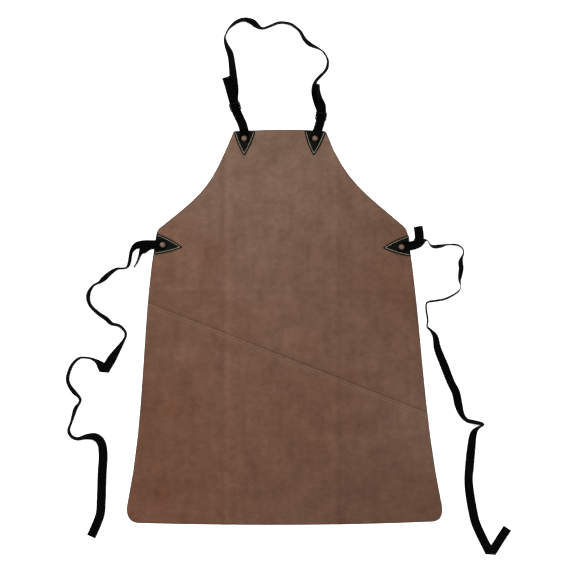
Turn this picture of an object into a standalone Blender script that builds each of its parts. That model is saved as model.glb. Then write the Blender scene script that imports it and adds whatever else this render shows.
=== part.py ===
"""A leather welding apron, laid flat with its front face up.

Frame: metres, +Z out of the front face, +Y towards the neck, +X to the viewer's right. The origin is
on the flat back of the apron, in the middle of the body. Every piece is a closed solid of its own.
"""

import math

import bmesh
import bpy
from mathutils import Matrix, Vector

MM = 0.001
GAP = 0.3 * MM

# Leather body (a 610 x 762 mm apron)
BODY_WIDTH = 612.0 * MM
BODY_HEIGHT = 767.0 * MM
LEATHER = 1.6 * MM
# The size that the places and outlines below are drawn at, in millimetres
DRAWN_WIDTH = 612.0
DRAWN_HEIGHT = 767.0
BIB_TOP = 382.5

# The seam that joins the two panels: the lower panel laps over the upper one
SEAM_AT_CENTRE_LINE = -56.0 * MM
SEAM_ANGLE = math.radians(-21.5)
SEAM_LAP = 15.0 * MM
SEAM_RAMP = 9.0 * MM
SEAM_ROWS = (3.4 * MM, 8.4 * MM)
SEAM_ROW_END = 2.5 * MM
THREAD = 0.9 * MM

# Webbing
WEB_WIDTH = 18.0 * MM
WEB_THICK = 1.3 * MM

# Reinforcing patches: a triangle with bulged sides, its base on the apron's edge. The base is wide
# enough for the webbing to lie between the two stitched sides.
PATCH_BASE = WEB_WIDTH * 2.4
BIB_PATCH_HEIGHT = 50.4 * MM
WAIST_PATCH_HEIGHT = 55.5 * MM
PATCH_CORNER = 3.5 * MM
PATCH_TIP = 7.0 * MM
PATCH_THICK = 1.2 * MM
PATCH_STITCH_INSET = 2.6 * MM
PATCH_STITCH_FOOT = 2.0 * MM
PATCH_STITCH_BULGE = 1.1 * MM
PATCH_BULGE = 1.8 * MM

# Rivets
RIVET_CAP = 11.0 * MM
RIVET_CAP_HEIGHT = 1.8 * MM
RIVET_RIM = 0.5 * MM
RIVET_POST = 4.0 * MM
RIVET_BURR = 9.0 * MM
RIVET_BURR_THICK = 0.6 * MM
WEB_PAST_RIVET = 3.8 * MM

# Neck buckles: a three-bar slider
BUCKLE_BAR = 2.6 * MM
BUCKLE_SLOT = 4.0 * MM
BUCKLE_SIDE = 2.0 * MM
BUCKLE_THICK = 2.4 * MM
BUCKLE_PLAY = 0.5 * MM
BUCKLE_CORNER = 1.5 * MM
BUCKLE_SLOT_CORNER = 0.5 * MM

# Places of the four rivets (x, y) and the headings of their patches' tips
RIVETS = {
    "left_bib": {"at": (-78.3, 366.1), "base": (-77.8, 380.3), "tip_heading": -91.0},
    "right_bib": {"at": (58.9, 366.3), "base": (59.3, 380.3), "tip_heading": -93.5},
    "left_waist": {"at": (-236.3, 159.9), "base": (-251.0, 161.5), "tip_heading": -7.0},
    "right_waist": {"at": (226.6, 155.6), "base": (242.8, 158.0), "tip_heading": -175.5},
}
# The neck buckles' centres, the way their straps run (degrees from +Y, left positive)
BUCKLES = {
    "left": {"at": (-96.0, 427.7), "turn": 16.0},
    "right": {"at": (70.7, 409.2), "turn": -8.0},
}
TAB_DOUBLE = 20.0 * MM
TAB_PAST_EDGE = 0.08
TAB_RAMP_SHARE = 0.22
TAB_START_TURN = {"left": -5.0, "right": -17.0}
# How strongly a tab keeps its first heading at the rivet, and its last one at the buckle
TAB_PULLS = (1.4, 0.7)
# The neck strap's free ends past the buckles, in millimetres and degrees: x, y, z, lean
TAILS = {
    "left": [
        (-99.6, 440.2, 4.6, 0), (-101.9, 448.2, 6.2, 0), (-105.6, 461.3, 7.8, 0), (-109.0, 473.5, 8.5, 0),
        (-113.0, 485.0, 8.5, 0),
    ],
    "right": [
        (71.8, 421.5, 4.4, 0), (71.4, 427.0, 6.6, -5), (70.2, 434.0, 8.6, -25), (67.8, 444.0, 9.4, -50),
        (65.2, 458.0, 10.0, -62), (64.0, 471.0, 10.0, -62),
    ],
}
# How far from its rivet a waist strap stays up on the patch, and the run in which it comes down
TIE_CLEAR = 45.0 * MM
SHORT_END_CLEAR = 26.0 * MM
EDGE_RAMP = 22.0 * MM

# Free webbing, as points in millimetres: x, y, and how far it leans from lying flat (0) to on edge (90)
NECK_STRAP = [
    (-99, 446, 0), (-98, 461, 12), (-99, 480, 28), (-103, 517, 50), (-106, 531, 55), (-112, 544, 75),
    (-116, 558, 90), (-114, 567, 90), (-108, 578, 85), (-99, 587, 75), (-90, 593, 70), (-77, 596, 75),
    (-63, 592, 75), (-55, 585, 85), (-48, 580, 90), (-40, 579, 85), (-29, 583, 80), (-14, 589, 80),
    (-2, 590, 80), (12, 587, 80), (21, 581, 80), (30, 573, 80), (36, 562, 75), (41, 555, 70),
    (49, 548, 65), (59, 543, 75), (69, 538, 85), (76, 532, 85), (82, 522, 85), (84, 513, 85),
    (82, 502, 85), (77, 494, 90), (68, 485, 85), (61, 477, 85), (57, 467, 75), (57, 455, 55),
    (61, 444, 32), (66, 433, 8), (69, 426, 0),
]
LEFT_TIE = [
    (-257, 160, 0), (-269, 160, 8), (-286, 158, 45), (-296, 147, 75), (-299, 134, 80), (-301, 124, 80),
    (-304, 117, 85), (-311, 114, 85), (-325, 113, 80), (-339, 104, 70), (-350, 94, 65), (-358, 87, 80),
    (-371, 80, 85), (-380, 63, 75), (-377, 44, 80), (-362, 28, 75), (-346, 17, 70), (-335, 7, 75),
    (-320, 3, 80), (-309, -8, 85), (-308, -18, 85), (-315, -31, 75), (-329, -52, 50), (-341, -68, 55),
    (-349, -80, 80), (-354, -81, 88), (-359, -73, 85), (-366, -65, 85), (-374, -61, 85), (-384, -59, 90),
    (-398, -60, 90), (-412, -74, 85), (-420, -97, 80), (-417, -112, 80), (-407, -126, 75), (-398, -135, 85),
    (-396, -144, 85), (-405, -158, 75), (-412, -181, 85), (-418, -199, 85), (-413, -211, 85),
    (-401, -216, 80), (-384, -212, 75), (-366, -214, 70), (-355, -226, 75), (-352, -250, 45),
    (-354, -282, 25), (-355, -313, 15), (-356, -335, 5), (-358, -362, 0), (-366, -385, 0), (-376, -407, 0),
]
RIGHT_TIE = [
    (246, 158, 0), (258, 162, 10), (268, 166, 60), (276, 164, 85), (281, 160, 85), (290, 156, 75),
    (300, 157, 75), (315, 160, 85), (331, 160, 85), (340, 157, 85), (346, 150, 85), (346, 142, 85),
    (343, 134, 80), (341, 126, 65), (342, 114, 65), (340, 100, 65), (339, 90, 80), (341, 79, 85),
    (337, 70, 85), (324, 61, 85), (308, 54, 85), (290, 51, 90), (276, 48, 90), (274, 36, 85),
    (277, 14, 85), (276, 1, 85), (283, -6, 80), (292, -19, 65), (297, -43, 45), (310, -75, 35),
    (322, -106, 40), (332, -126, 35), (337, -149, 35), (343, -168, 60), (352, -179, 80), (368, -182, 85),
    (383, -184, 85), (385, -189, 90), (374, -194, 85), (366, -206, 55), (362, -237, 15), (359, -270, 5),
    (357, -297, 15), (360, -326, 0), (364, -353, 0), (369, -378, 10), (382, -405, 30), (392, -424, 70),
    (399, -432, 85), (408, -427, 85), (416, -415, 60), (433, -390, 5),
]
LEFT_SHORT_END = [
    (-256, 160, 0), (-264, 157, 0), (-270, 150, -5), (-274, 142, -35), (-277, 134, -65), (-281, 126, -85),
    (-287, 118, -88),
]
RIGHT_SHORT_END = [(246, 158, 0), (256, 162, 0), (261, 171, 0), (261, 183, 0), (259, 196, 0)]
# The points next to each buckle that move with that buckle when the body's size changes
NECK_END_POINTS = 6
POINT_SPACING = 6.0 * MM
SHORT_SPACING = 5.0 * MM

# Heights of the layers at a rivet, from the surface up
PATCH_Z = LEATHER + GAP
PATCH_TOP = PATCH_Z + PATCH_THICK
FIRST_WEB_Z = PATCH_TOP + GAP
SECOND_WEB_Z = FIRST_WEB_Z + WEB_THICK + GAP
BUCKLE_Z = 3 * GAP + 2 * WEB_THICK
OVER_BARS_Z = BUCKLE_Z + BUCKLE_THICK + GAP + WEB_THICK / 2
LAP_Z = LEATHER + GAP

COLOURS = {
    "suede": ((0.150, 0.066, 0.040), 0.92, 0.0),
    "patch_leather": ((0.006, 0.006, 0.005), 0.60, 0.0),
    "webbing": ((0.006, 0.007, 0.005), 0.75, 0.0),
    "thread": ((0.42, 0.38, 0.28), 0.70, 0.0),
    "rivet": ((0.30, 0.16, 0.10), 0.38, 1.0),
    "buckle": ((0.008, 0.009, 0.008), 0.35, 0.0),
}


def clear_scene():
    for obj in list(bpy.data.objects):
        bpy.data.objects.remove(obj, do_unlink=True)


def new_collection(name):
    collection = bpy.data.collections.new(name)
    bpy.context.scene.collection.children.link(collection)
    return collection


def finish(obj, colour, collection):
    """Give the object a Principled material of its own and put it in its collection."""
    base, rough, metal = COLOURS[colour]
    material = bpy.data.materials.new(obj.name)
    material.use_nodes = True
    shader = material.node_tree.nodes["Principled BSDF"]
    shader.inputs["Base Color"].default_value = (*base, 1.0)
    shader.inputs["Roughness"].default_value = rough
    shader.inputs["Metallic"].default_value = metal
    obj.data.materials.clear()
    obj.data.materials.append(material)
    collection.objects.link(obj)
    return obj


def mesh_object(name, bm):
    mesh = bpy.data.meshes.new(name)
    bm.to_mesh(mesh)
    bm.free()
    return bpy.data.objects.new(name, mesh)


def evaluated_mesh(obj):
    """The mesh of a curve object as it stands in the world, with its caps welded on."""
    bpy.context.scene.collection.objects.link(obj)
    bpy.context.view_layer.update()
    graph = bpy.context.evaluated_depsgraph_get()
    mesh = bpy.data.meshes.new_from_object(obj.evaluated_get(graph))
    mesh.transform(obj.matrix_world)
    bm = bmesh.new()
    bm.from_mesh(mesh)
    bmesh.ops.remove_doubles(bm, verts=bm.verts, dist=0.01 * MM)
    bpy.data.objects.remove(obj)
    return bm


def flat_curve(name, outlines, thickness):
    """A flat plate from closed Bezier outlines; each knot is (point, handle in, handle out) in metres."""
    curve = bpy.data.curves.new(name, "CURVE")
    curve.dimensions = "2D"
    curve.fill_mode = "BOTH"
    curve.resolution_u = 8
    curve.render_resolution_u = 8
    curve.extrude = thickness / 2
    for knots in outlines:
        spline = curve.splines.new("BEZIER")
        spline.use_cyclic_u = True
        spline.bezier_points.add(len(knots) - 1)
        for point, (co, left, right) in zip(spline.bezier_points, knots):
            point.co = (*co, 0.0)
            point.handle_left = (*left, 0.0)
            point.handle_right = (*right, 0.0)
    return bpy.data.objects.new(name, curve)


def circle_knots(x, y, radius):
    """Four Bezier knots that make a round outline."""
    pull = 0.5523 * radius
    knots = []
    for step in range(4):
        angle = step * math.pi / 2
        out = Vector((math.cos(angle), math.sin(angle)))
        along = Vector((-out.y, out.x))
        centre = Vector((x, y)) + out * radius
        knots.append((centre, centre - along * pull, centre + along * pull))
    return knots


def rounded_polygon(corners, radii, bulges=None):
    """Bezier knots for a clockwise polygon with round corners; a bulge pushes the side after it out."""
    knots = []
    count = len(corners)
    bulges = bulges or [0.0] * count
    for i, corner in enumerate(corners):
        here = Vector(corner)
        back = Vector(corners[i - 1]) - here
        ahead = Vector(corners[(i + 1) % count]) - here
        for edge, bulge, first in ((back, bulges[i - 1], True), (ahead, bulges[i], False)):
            unit = edge.normalized()
            turn = Vector((unit.y, -unit.x)) if first else Vector((-unit.y, unit.x))
            start = here + unit * radii[i]
            far = start + unit * (edge.length / 3) + turn * bulge * 4 / 3
            near = here + unit * radii[i] * 0.45
            knots.append((start, far, near) if first else (start, near, far))
    return knots


# ---------------------------------------------------------------- leather body

def scaled(x, y):
    """A point of the apron's outline, as a share of the body's width and height."""
    return Vector((x / DRAWN_WIDTH * BODY_WIDTH, y / DRAWN_HEIGHT * BODY_HEIGHT))


def body_outline():
    """The whole apron, clockwise from the bib's top left corner."""
    knots = [
        ((-92.5, 381.2), (-98.0, 381.0), (-37.4, 383.0)),
        ((74.0, 381.0), (18.6, 386.0), (79.5, 380.4)),
        ((82.5, 375.0), (81.5, 379.0), (116.4, 282.7)),
        ((229.0, 198.0), (160.3, 257.1), (235.0, 193.0)),
        ((239.5, 180.0), (238.0, 187.0), (266.6, 6.4)),
        ((305.8, -348.0), (268.0, -170.4), (308.0, -366.0)),
        ((286.0, -377.8), (302.0, -377.0), (92.8, -386.1)),
        ((-284.0, -380.6), (-96.3, -385.4), (-301.0, -380.0)),
        ((-306.2, -348.0), (-308.5, -366.0), (-268.0, -165.0)),
        ((-249.0, 182.0), (-279.0, 15.0), (-247.0, 189.0)),
        ((-240.0, 195.0), (-244.5, 191.5), (-151.4, 264.1)),
        ((-101.6, 374.0), (-142.9, 274.7), (-99.8, 379.4)),
    ]
    return [[scaled(*point) for point in knot] for knot in knots]


def seam_frame():
    """A point on the lap's cut edge, the way along it, and the way up across it."""
    along = Vector((math.cos(SEAM_ANGLE), math.sin(SEAM_ANGLE), 0))
    across = Vector((-along.y, along.x, 0))
    return Vector((0, SEAM_AT_CENTRE_LINE, 0)), along, across


def leather_sheet():
    """The outline as a flat open sheet at z = 0, still a bmesh."""
    sheet = flat_curve("outline", [body_outline()], 0.0)
    sheet.data.fill_mode = "FRONT"
    return evaluated_mesh(sheet)


def cut_sheet(bm, point, normal, clear_outer=False, clear_inner=False):
    geometry = bm.verts[:] + bm.edges[:] + bm.faces[:]
    bmesh.ops.bisect_plane(
        bm, geom=geometry, dist=1e-7, plane_co=point, plane_no=normal,
        clear_outer=clear_outer, clear_inner=clear_inner,
    )


def face_up(bm):
    bmesh.ops.remove_doubles(bm, verts=bm.verts, dist=0.01 * MM)
    flipped = [face for face in bm.faces if face.normal.z < 0]
    bmesh.ops.reverse_faces(bm, faces=flipped)


def thicken(obj, thickness):
    solid = obj.modifiers.new("thickness", "SOLIDIFY")
    solid.thickness = thickness
    solid.offset = 1.0
    solid.use_even_offset = True
    return solid


def rivet_place(name):
    """A rivet keeps its distance from its patch's base, which moves with the apron's edge."""
    base = RIVETS[name]["base"]
    return scaled(*base) + (Vector(RIVETS[name]["at"]) - Vector(base)) * MM


def build_upper_panel(parts, cutters):
    start, along, across = seam_frame()
    bm = leather_sheet()
    cut_sheet(bm, start - across * SEAM_LAP, across, clear_inner=True)
    face_up(bm)
    panel = finish(mesh_object("upper_panel", bm), "suede", parts)
    thicken(panel, LEATHER)
    for name in RIVETS:
        place = rivet_place(name)
        cut_rivet_hole(panel, f"cut_{name}", place, cutters)
    return panel


def cut_rivet_hole(target, name, place, cutters):
    """The post's hole, with a wider seat under the leather that the burr is pressed into."""
    seat = RIVET_BURR / 2 + GAP
    hole = RIVET_POST / 2 + GAP
    seat_top = RIVET_BURR_THICK + GAP
    profile = [(0.0, 0.05), (hole, 0.05), (hole, seat_top), (seat, seat_top), (seat, -0.05), (0.0, -0.05)]
    cutter = turned(name, profile)
    cutter.location = (place.x, place.y, 0.0)
    cutter.hide_render = True
    cutter.display_type = "WIRE"
    cutters.objects.link(cutter)
    cut = target.modifiers.new(name, "BOOLEAN")
    cut.operation = "DIFFERENCE"
    cut.object = cutter


def turned(name, profile, steps=24):
    """A solid of revolution about Z; the profile runs down the outer side, from the axis to the axis."""
    bm = bmesh.new()
    verts = [bm.verts.new((radius, 0.0, height)) for radius, height in profile]
    for first, second in zip(verts, verts[1:]):
        bm.edges.new((first, second))
    obj = mesh_object(name, bm)
    screw = obj.modifiers.new("turn", "SCREW")
    screw.steps = steps
    screw.render_steps = steps
    screw.use_merge_vertices = True
    screw.merge_threshold = 0.01 * MM
    return obj


def build_lower_panel(parts):
    """The lower panel climbs over the upper panel's edge and lies on it along the seam."""
    start, along, across = seam_frame()
    bm = leather_sheet()
    cut_sheet(bm, start, across, clear_outer=True)
    flat_to = SEAM_LAP + 2 * GAP
    for depth in (flat_to, flat_to + SEAM_RAMP):
        cut_sheet(bm, start - across * depth, across)
    face_up(bm)
    for vert in bm.verts:
        depth = (start - vert.co).dot(across)
        share = (depth - flat_to) / SEAM_RAMP
        vert.co.z = LAP_Z * (1.0 - min(max(share, 0.0), 1.0))
    panel = finish(mesh_object("lower_panel", bm), "suede", parts)
    thicken(panel, LEATHER)


def seam_ends(depth):
    """Where a line along the seam, that far below the cut edge, leaves the body at each side."""
    start, along, across = seam_frame()
    bm = leather_sheet()
    cut_sheet(bm, start - across * depth, across)
    line = [vert.co.copy() for vert in bm.verts if abs((vert.co - start).dot(across) + depth) < 1e-6]
    bm.free()
    line.sort(key=lambda point: point.dot(along))
    return line[0] + along * SEAM_ROW_END, line[-1] - along * SEAM_ROW_END


def thread_curve(name, points, parts):
    """A stitched row: one thread that lies on the leather."""
    curve = bpy.data.curves.new(name, "CURVE")
    curve.dimensions = "3D"
    curve.bevel_depth = THREAD / 2
    curve.bevel_resolution = 1
    curve.use_fill_caps = True
    spline = curve.splines.new("POLY")
    spline.points.add(len(points) - 1)
    for target, point in zip(spline.points, points):
        target.co = (*point, 1.0)
    return finish(bpy.data.objects.new(name, curve), "thread", parts)


def build_seam_threads(parts):
    for name, depth in zip(("seam_thread_upper", "seam_thread_lower"), SEAM_ROWS):
        lift = Vector((0, 0, LAP_Z + LEATHER + GAP + THREAD / 2))
        first, last = seam_ends(depth)
        thread_curve(name, [first + lift, last + lift], parts)


# ---------------------------------------------------------------- patches and rivets

def patch_frame(name):
    """The patch's own frame: origin at the middle of its base, +Y towards its tip."""
    spec = RIVETS[name]
    base = scaled(*spec["base"])
    turn = math.radians(spec["tip_heading"] - 90.0)
    return Matrix.Translation((base.x, base.y, 0.0)) @ Matrix.Rotation(turn, 4, "Z")


def build_patch(name, parts):
    frame = patch_frame(name)
    place = rivet_place(name)
    local = frame.inverted() @ Vector((place.x, place.y, 0.0))
    half = PATCH_BASE / 2
    length = BIB_PATCH_HEIGHT if name.endswith("bib") else WAIST_PATCH_HEIGHT
    corners = [(-half, 0.0), (0.0, length), (half, 0.0)]
    radii = [PATCH_CORNER, PATCH_TIP, PATCH_CORNER]
    outline = rounded_polygon(corners, radii, [PATCH_BULGE, PATCH_BULGE, 0.0])
    hole = circle_knots(local.x, local.y, RIVET_POST / 2 + GAP)
    patch = flat_curve(f"{name}_patch", [outline, hole], PATCH_THICK)
    patch.matrix_world = Matrix.Translation((0, 0, PATCH_Z + PATCH_THICK / 2)) @ frame
    finish(patch, "patch_leather", parts)

    side = Vector((half, length)).normalized()
    inset = PATCH_STITCH_INSET
    along_base = half - inset / side.y
    tip = length - inset / side.x
    foot = PATCH_STITCH_FOOT
    height = PATCH_TOP + GAP + THREAD / 2
    foot_x = along_base * (1 - foot / tip)
    run = [(-foot_x, foot), (0.0, tip), (foot_x, foot)]
    points = [Vector((*run[0], height))]
    for (x, y), (end_x, end_y) in zip(run, run[1:]):
        out = Vector((y - end_y, end_x - x, 0.0)).normalized()
        for step in range(1, 6):
            share = step / 5
            bulge = out * PATCH_STITCH_BULGE * 4 * share * (1 - share)
            points.append(Vector((x, y, height)).lerp(Vector((end_x, end_y, height)), share) + bulge)
    thread_curve(f"{name}_patch_thread", [frame @ point for point in points], parts)


def build_rivet(name, under_cap, parts):
    """A domed cap with its post, and the burr ring pressed into the leather's back."""
    place = rivet_place(name)
    cap = RIVET_CAP / 2
    post = RIVET_POST / 2
    top = under_cap + RIVET_CAP_HEIGHT
    rim = under_cap + RIVET_RIM
    dome = []
    for step in range(7):
        angle = math.radians(90.0 * (1.0 - step / 6))
        dome.append((cap * math.cos(angle), rim + (top - rim) * math.sin(angle)))
    dome[0] = (0.0, top)
    profile = dome + [(cap, under_cap), (post, under_cap), (post, 0.1 * MM), (0.0, 0.1 * MM)]
    rivet = turned(f"{name}_rivet", profile)
    rivet.location = (place.x, place.y, 0.0)
    finish(rivet, "rivet", parts)

    outer = RIVET_BURR / 2
    inner = post + GAP
    ring = [(outer, RIVET_BURR_THICK), (outer, 0.0), (inner, 0.0), (inner, RIVET_BURR_THICK)]
    bm = bmesh.new()
    verts = [bm.verts.new((radius, 0.0, height)) for radius, height in ring]
    bm.faces.new(verts)
    bm.faces.ensure_lookup_table()
    rim_edges = bm.edges[:]
    bmesh.ops.delete(bm, geom=bm.faces[:], context="FACES_ONLY")
    bmesh.ops.spin(
        bm, geom=rim_edges + bm.verts[:], cent=(0, 0, 0), axis=(0, 0, 1), angle=2 * math.pi,
        steps=24, use_merge=True,
    )
    bmesh.ops.remove_doubles(bm, verts=bm.verts, dist=0.01 * MM)
    bmesh.ops.recalc_face_normals(bm, faces=bm.faces)
    burr = mesh_object(f"{name}_burr", bm)
    burr.location = (place.x, place.y, 0.0)
    finish(burr, "rivet", parts)


# ---------------------------------------------------------------- webbing

def tape(name, stations):
    """A strap lofted from section to section; each station is (middle, the way across its width)."""
    bm = bmesh.new()
    middles = [Vector(middle) for middle, across in stations]
    loops = []
    for i, (middle, across) in enumerate(stations):
        ahead = middles[min(i + 1, len(middles) - 1)] - middles[max(i - 1, 0)]
        half = Vector(across).normalized() * WEB_WIDTH / 2
        rise = ahead.cross(half).normalized() * WEB_THICK / 2
        corners = [-half - rise, half - rise, half + rise, rise - half]
        loops.append([bm.verts.new(middles[i] + corner) for corner in corners])
    # A twisted strap's two sides are cut along the same diagonal, so that they can't cross each other
    for low, high in zip(loops, loops[1:]):
        bm.faces.new((low[0], low[1], high[1]))
        bm.faces.new((low[0], high[1], high[0]))
        bm.faces.new((low[1], low[2], high[2]))
        bm.faces.new((low[1], high[2], high[1]))
        bm.faces.new((low[2], low[3], high[2]))
        bm.faces.new((low[3], high[3], high[2]))
        bm.faces.new((low[3], low[0], high[0]))
        bm.faces.new((low[3], high[0], high[3]))
    bm.faces.new(loops[0])
    bm.faces.new(loops[-1])
    bmesh.ops.recalc_face_normals(bm, faces=bm.faces)
    return mesh_object(name, bm)


def buckle_frame(side):
    """The buckle's own frame: origin at its middle on the surface, +Y towards the neck."""
    spec = BUCKLES[side]
    place = scaled(*spec["at"])
    return Matrix.Translation((place.x, place.y, 0.0)) @ Matrix.Rotation(math.radians(spec["turn"]), 4, "Z")


def buckle_length():
    return 3 * BUCKLE_BAR + 2 * BUCKLE_SLOT


def build_buckle(side, parts):
    """A three-bar slider: an outer frame with two slots."""
    half_w = WEB_WIDTH / 2 + BUCKLE_PLAY
    pitch = BUCKLE_BAR + BUCKLE_SLOT
    outer_w = half_w + BUCKLE_SIDE
    outer_l = buckle_length() / 2
    rim = [(-outer_w, -outer_l), (-outer_w, outer_l), (outer_w, outer_l), (outer_w, -outer_l)]
    outlines = [rounded_polygon(rim, [BUCKLE_CORNER] * 4)]
    for middle in (-pitch / 2, pitch / 2):
        low, high = middle - BUCKLE_SLOT / 2, middle + BUCKLE_SLOT / 2
        slot = [(-half_w, low), (-half_w, high), (half_w, high), (half_w, low)]
        outlines.append(rounded_polygon(slot, [BUCKLE_SLOT_CORNER] * 4))
    buckle = flat_curve(f"{side}_buckle", outlines, BUCKLE_THICK)
    lift = Matrix.Translation((0, 0, BUCKLE_Z + BUCKLE_THICK / 2))
    buckle.matrix_world = lift @ buckle_frame(side)
    finish(buckle, "buckle", parts)


def plan_curve(start, start_turn, end, end_turn, share):
    """A point and its heading on a smooth plan line between two places with given turns from +Y."""
    reach = (end - start).length
    leave = Vector((-math.sin(start_turn), math.cos(start_turn))) * reach * TAB_PULLS[0]
    arrive = Vector((-math.sin(end_turn), math.cos(end_turn))) * reach * TAB_PULLS[1]
    t = share
    point = (start * (2 * t ** 3 - 3 * t * t + 1) + leave * (t ** 3 - 2 * t * t + t)
             + end * (3 * t * t - 2 * t ** 3) + arrive * (t ** 3 - t * t))
    heading = (start * (6 * t * t - 6 * t) + leave * (3 * t * t - 4 * t + 1)
               + end * (6 * t - 6 * t * t) + arrive * (3 * t * t - 2 * t))
    return point, heading.normalized()


def build_tab(side, parts, cutters):
    """The short strap between the bib's rivet and the buckle, doubled back over the buckle's lowest bar."""
    rivet = rivet_place(f"{side}_bib")
    frame = buckle_frame(side)
    turn = math.radians(BUCKLES[side]["turn"])
    half = buckle_length() / 2
    foot = (frame @ Vector((0, -half, 0))).xy
    edge = scaled(0.0, BIB_TOP).y
    flat_to = (edge - rivet.y) / (foot.y - rivet.y) + TAB_PAST_EDGE
    low = lying_height(0.0)
    high = FIRST_WEB_Z + WEB_THICK / 2

    def layer(share, lift):
        point, heading = plan_curve(rivet, math.radians(TAB_START_TURN[side]), foot, turn, share)
        ramp = min(max((share - flat_to) / TAB_RAMP_SHARE, 0.0), 1.0)
        ramp = ramp * ramp * (3 - 2 * ramp)
        return Vector((*point, high + (low - high) * ramp + lift)), Vector((heading.y, -heading.x, 0))

    reach = (foot - rivet).length
    stations = [layer(-WEB_PAST_RIVET / reach, 0.0)]
    stations += [layer(step / 16, 0.0) for step in range(16)]
    across = (frame.to_3x3() @ Vector((1, 0, 0)))
    near = GAP + WEB_THICK / 2
    inner = -half + BUCKLE_BAR + near
    wrap = [
        (-half + 0.5 * MM, low), (inner - 0.8 * MM, low), (inner - 0.2 * MM, low + 0.3 * MM),
        (inner, low + 0.9 * MM), (inner, OVER_BARS_Z - 0.9 * MM), (inner - 0.2 * MM, OVER_BARS_Z - 0.3 * MM),
        (inner - 0.8 * MM, OVER_BARS_Z),
        (-half - 0.2 * MM, OVER_BARS_Z), (-half - 0.9 * MM, OVER_BARS_Z - 0.4 * MM),
        (-half - 3.0 * MM, OVER_BARS_Z - 2.4 * MM),
    ]
    stations += [(frame @ Vector((0, v, z)), across) for v, z in wrap]
    doubled = WEB_THICK + GAP * 1.5
    landing = 1.0 - 6.5 * MM / reach
    end = 1.0 - TAB_DOUBLE / reach
    for step in range(7):
        stations.append(layer(landing + (end - landing) * step / 6, doubled))
    tab = finish(tape(f"{side}_tab", stations), "webbing", parts)
    cut_post_hole(tab, f"cut_{side}_tab", rivet, FIRST_WEB_Z, cutters)


def cut_post_hole(strap, name, place, height, cutters):
    """A round hole through a strap for the rivet's post."""
    bm = bmesh.new()
    radius = RIVET_POST / 2 + GAP
    depth = 6 * WEB_THICK
    bmesh.ops.create_cone(bm, cap_ends=True, segments=24, radius1=radius, radius2=radius, depth=depth)
    cutter = mesh_object(name, bm)
    cutter.location = (place.x, place.y, height + WEB_THICK / 2)
    cutter.hide_render = True
    cutter.display_type = "WIRE"
    cutters.objects.link(cutter)
    cut = strap.modifiers.new("rivet_hole", "BOOLEAN")
    cut.operation = "DIFFERENCE"
    cut.object = cutter


def build_tail(side, parts):
    """The strap's end: up through the lower slot, over the middle bar, down, and out under the top bar."""
    frame = buckle_frame(side)
    across = frame.to_3x3() @ Vector((1, 0, 0))
    low = lying_height(0.0)
    second = low + WEB_THICK + GAP
    bar = BUCKLE_BAR / 2 + GAP + WEB_THICK / 2
    top = OVER_BARS_Z
    wrap = [
        (-0.4 * MM, low), (-bar + 0.7 * MM, low), (-bar + 0.2 * MM, low + 0.2 * MM), (-bar, low + 0.8 * MM),
        (-bar, top - 0.8 * MM), (-bar + 0.2 * MM, top - 0.2 * MM), (-bar + 0.7 * MM, top),
        (bar - 0.7 * MM, top), (bar - 0.2 * MM, top - 0.2 * MM), (bar, top - 0.8 * MM),
        (bar, second + 0.8 * MM), (bar + 0.2 * MM, second + 0.2 * MM), (bar + 0.8 * MM, second),
        (buckle_length() / 2 + 1.0 * MM, second),
    ]
    stations = [(frame @ Vector((0, v, z)), across) for v, z in wrap]
    last = stations[-1][0]
    shift = scaled(*BUCKLES[side]["at"]) - Vector(BUCKLES[side]["at"]) * MM
    route = [(last.x, last.y, last.z, 0.0)]
    route += [(x * MM + shift.x, y * MM + shift.y, z * MM, lean) for x, y, z, lean in TAILS[side]]
    free = smooth_route(route, 4.0 * MM)
    for i, (x, y, z, lean) in enumerate(free[1:], start=1):
        stations.append((Vector((x, y, z)), width_direction(free, i)))
    finish(tape(f"neck_strap_{side}_end", stations), "webbing", parts)


# ---------------------------------------------------------------- free straps

def smooth_route(points, spacing):
    """Even steps along a smooth curve through the points; the first two numbers of a point are x and y."""
    ends = [points[0]] + list(points) + [points[-1]]
    dense = []
    for i in range(1, len(ends) - 2):
        p0, p1, p2, p3 = (Vector(ends[i + k]) for k in (-1, 0, 1, 2))
        for step in range(16):
            t = step / 16
            dense.append(0.5 * (2 * p1 + (p2 - p0) * t + (2 * p0 - 5 * p1 + 4 * p2 - p3) * t * t
                                + (3 * p1 - p0 - 3 * p2 + p3) * t ** 3))
    dense.append(Vector(ends[-1]))
    run = [0.0]
    for a, b in zip(dense, dense[1:]):
        run.append(run[-1] + (b - a).xy.length)
    count = max(2, round(run[-1] / spacing))
    result = []
    index = 0
    for step in range(count + 1):
        want = run[-1] * step / count
        while index < len(run) - 2 and run[index + 1] < want:
            index += 1
        share = (want - run[index]) / max(run[index + 1] - run[index], 1e-9)
        result.append(dense[index].lerp(dense[index + 1], min(share, 1.0)))
    return result


def lying_height(lean):
    """How high the webbing's middle is over the surface when it leans that many degrees from flat."""
    lean = math.radians(lean)
    return WEB_WIDTH / 2 * abs(math.sin(lean)) + WEB_THICK / 2 * abs(math.cos(lean)) + GAP


def width_direction(route, i):
    """The way across the strap's width at a point of its route, turned by its lean."""
    ahead = (route[min(i + 1, len(route) - 1)] - route[max(i - 1, 0)]).xy.normalized()
    lean = math.radians(route[i][3])
    return Vector((ahead.y, -ahead.x, 0)) * math.cos(lean) + Vector((0, 0, math.sin(lean)))


def free_webbing(name, points, parts, spacing=POINT_SPACING):
    """A flat strap along (x, y, height under it, lean) points, on edge or flat, as one closed mesh."""
    route = smooth_route(points, spacing)
    for spot in route:
        spot[3] = min(max(spot[3], -90.0), 90.0)
    stations = []
    for i, (x, y, under, lean) in enumerate(route):
        height = max(under, 0.0) + lying_height(lean)
        stations.append((Vector((x, y, height)), width_direction(route, i)))
    return finish(tape(name, stations), "webbing", parts)


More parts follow.
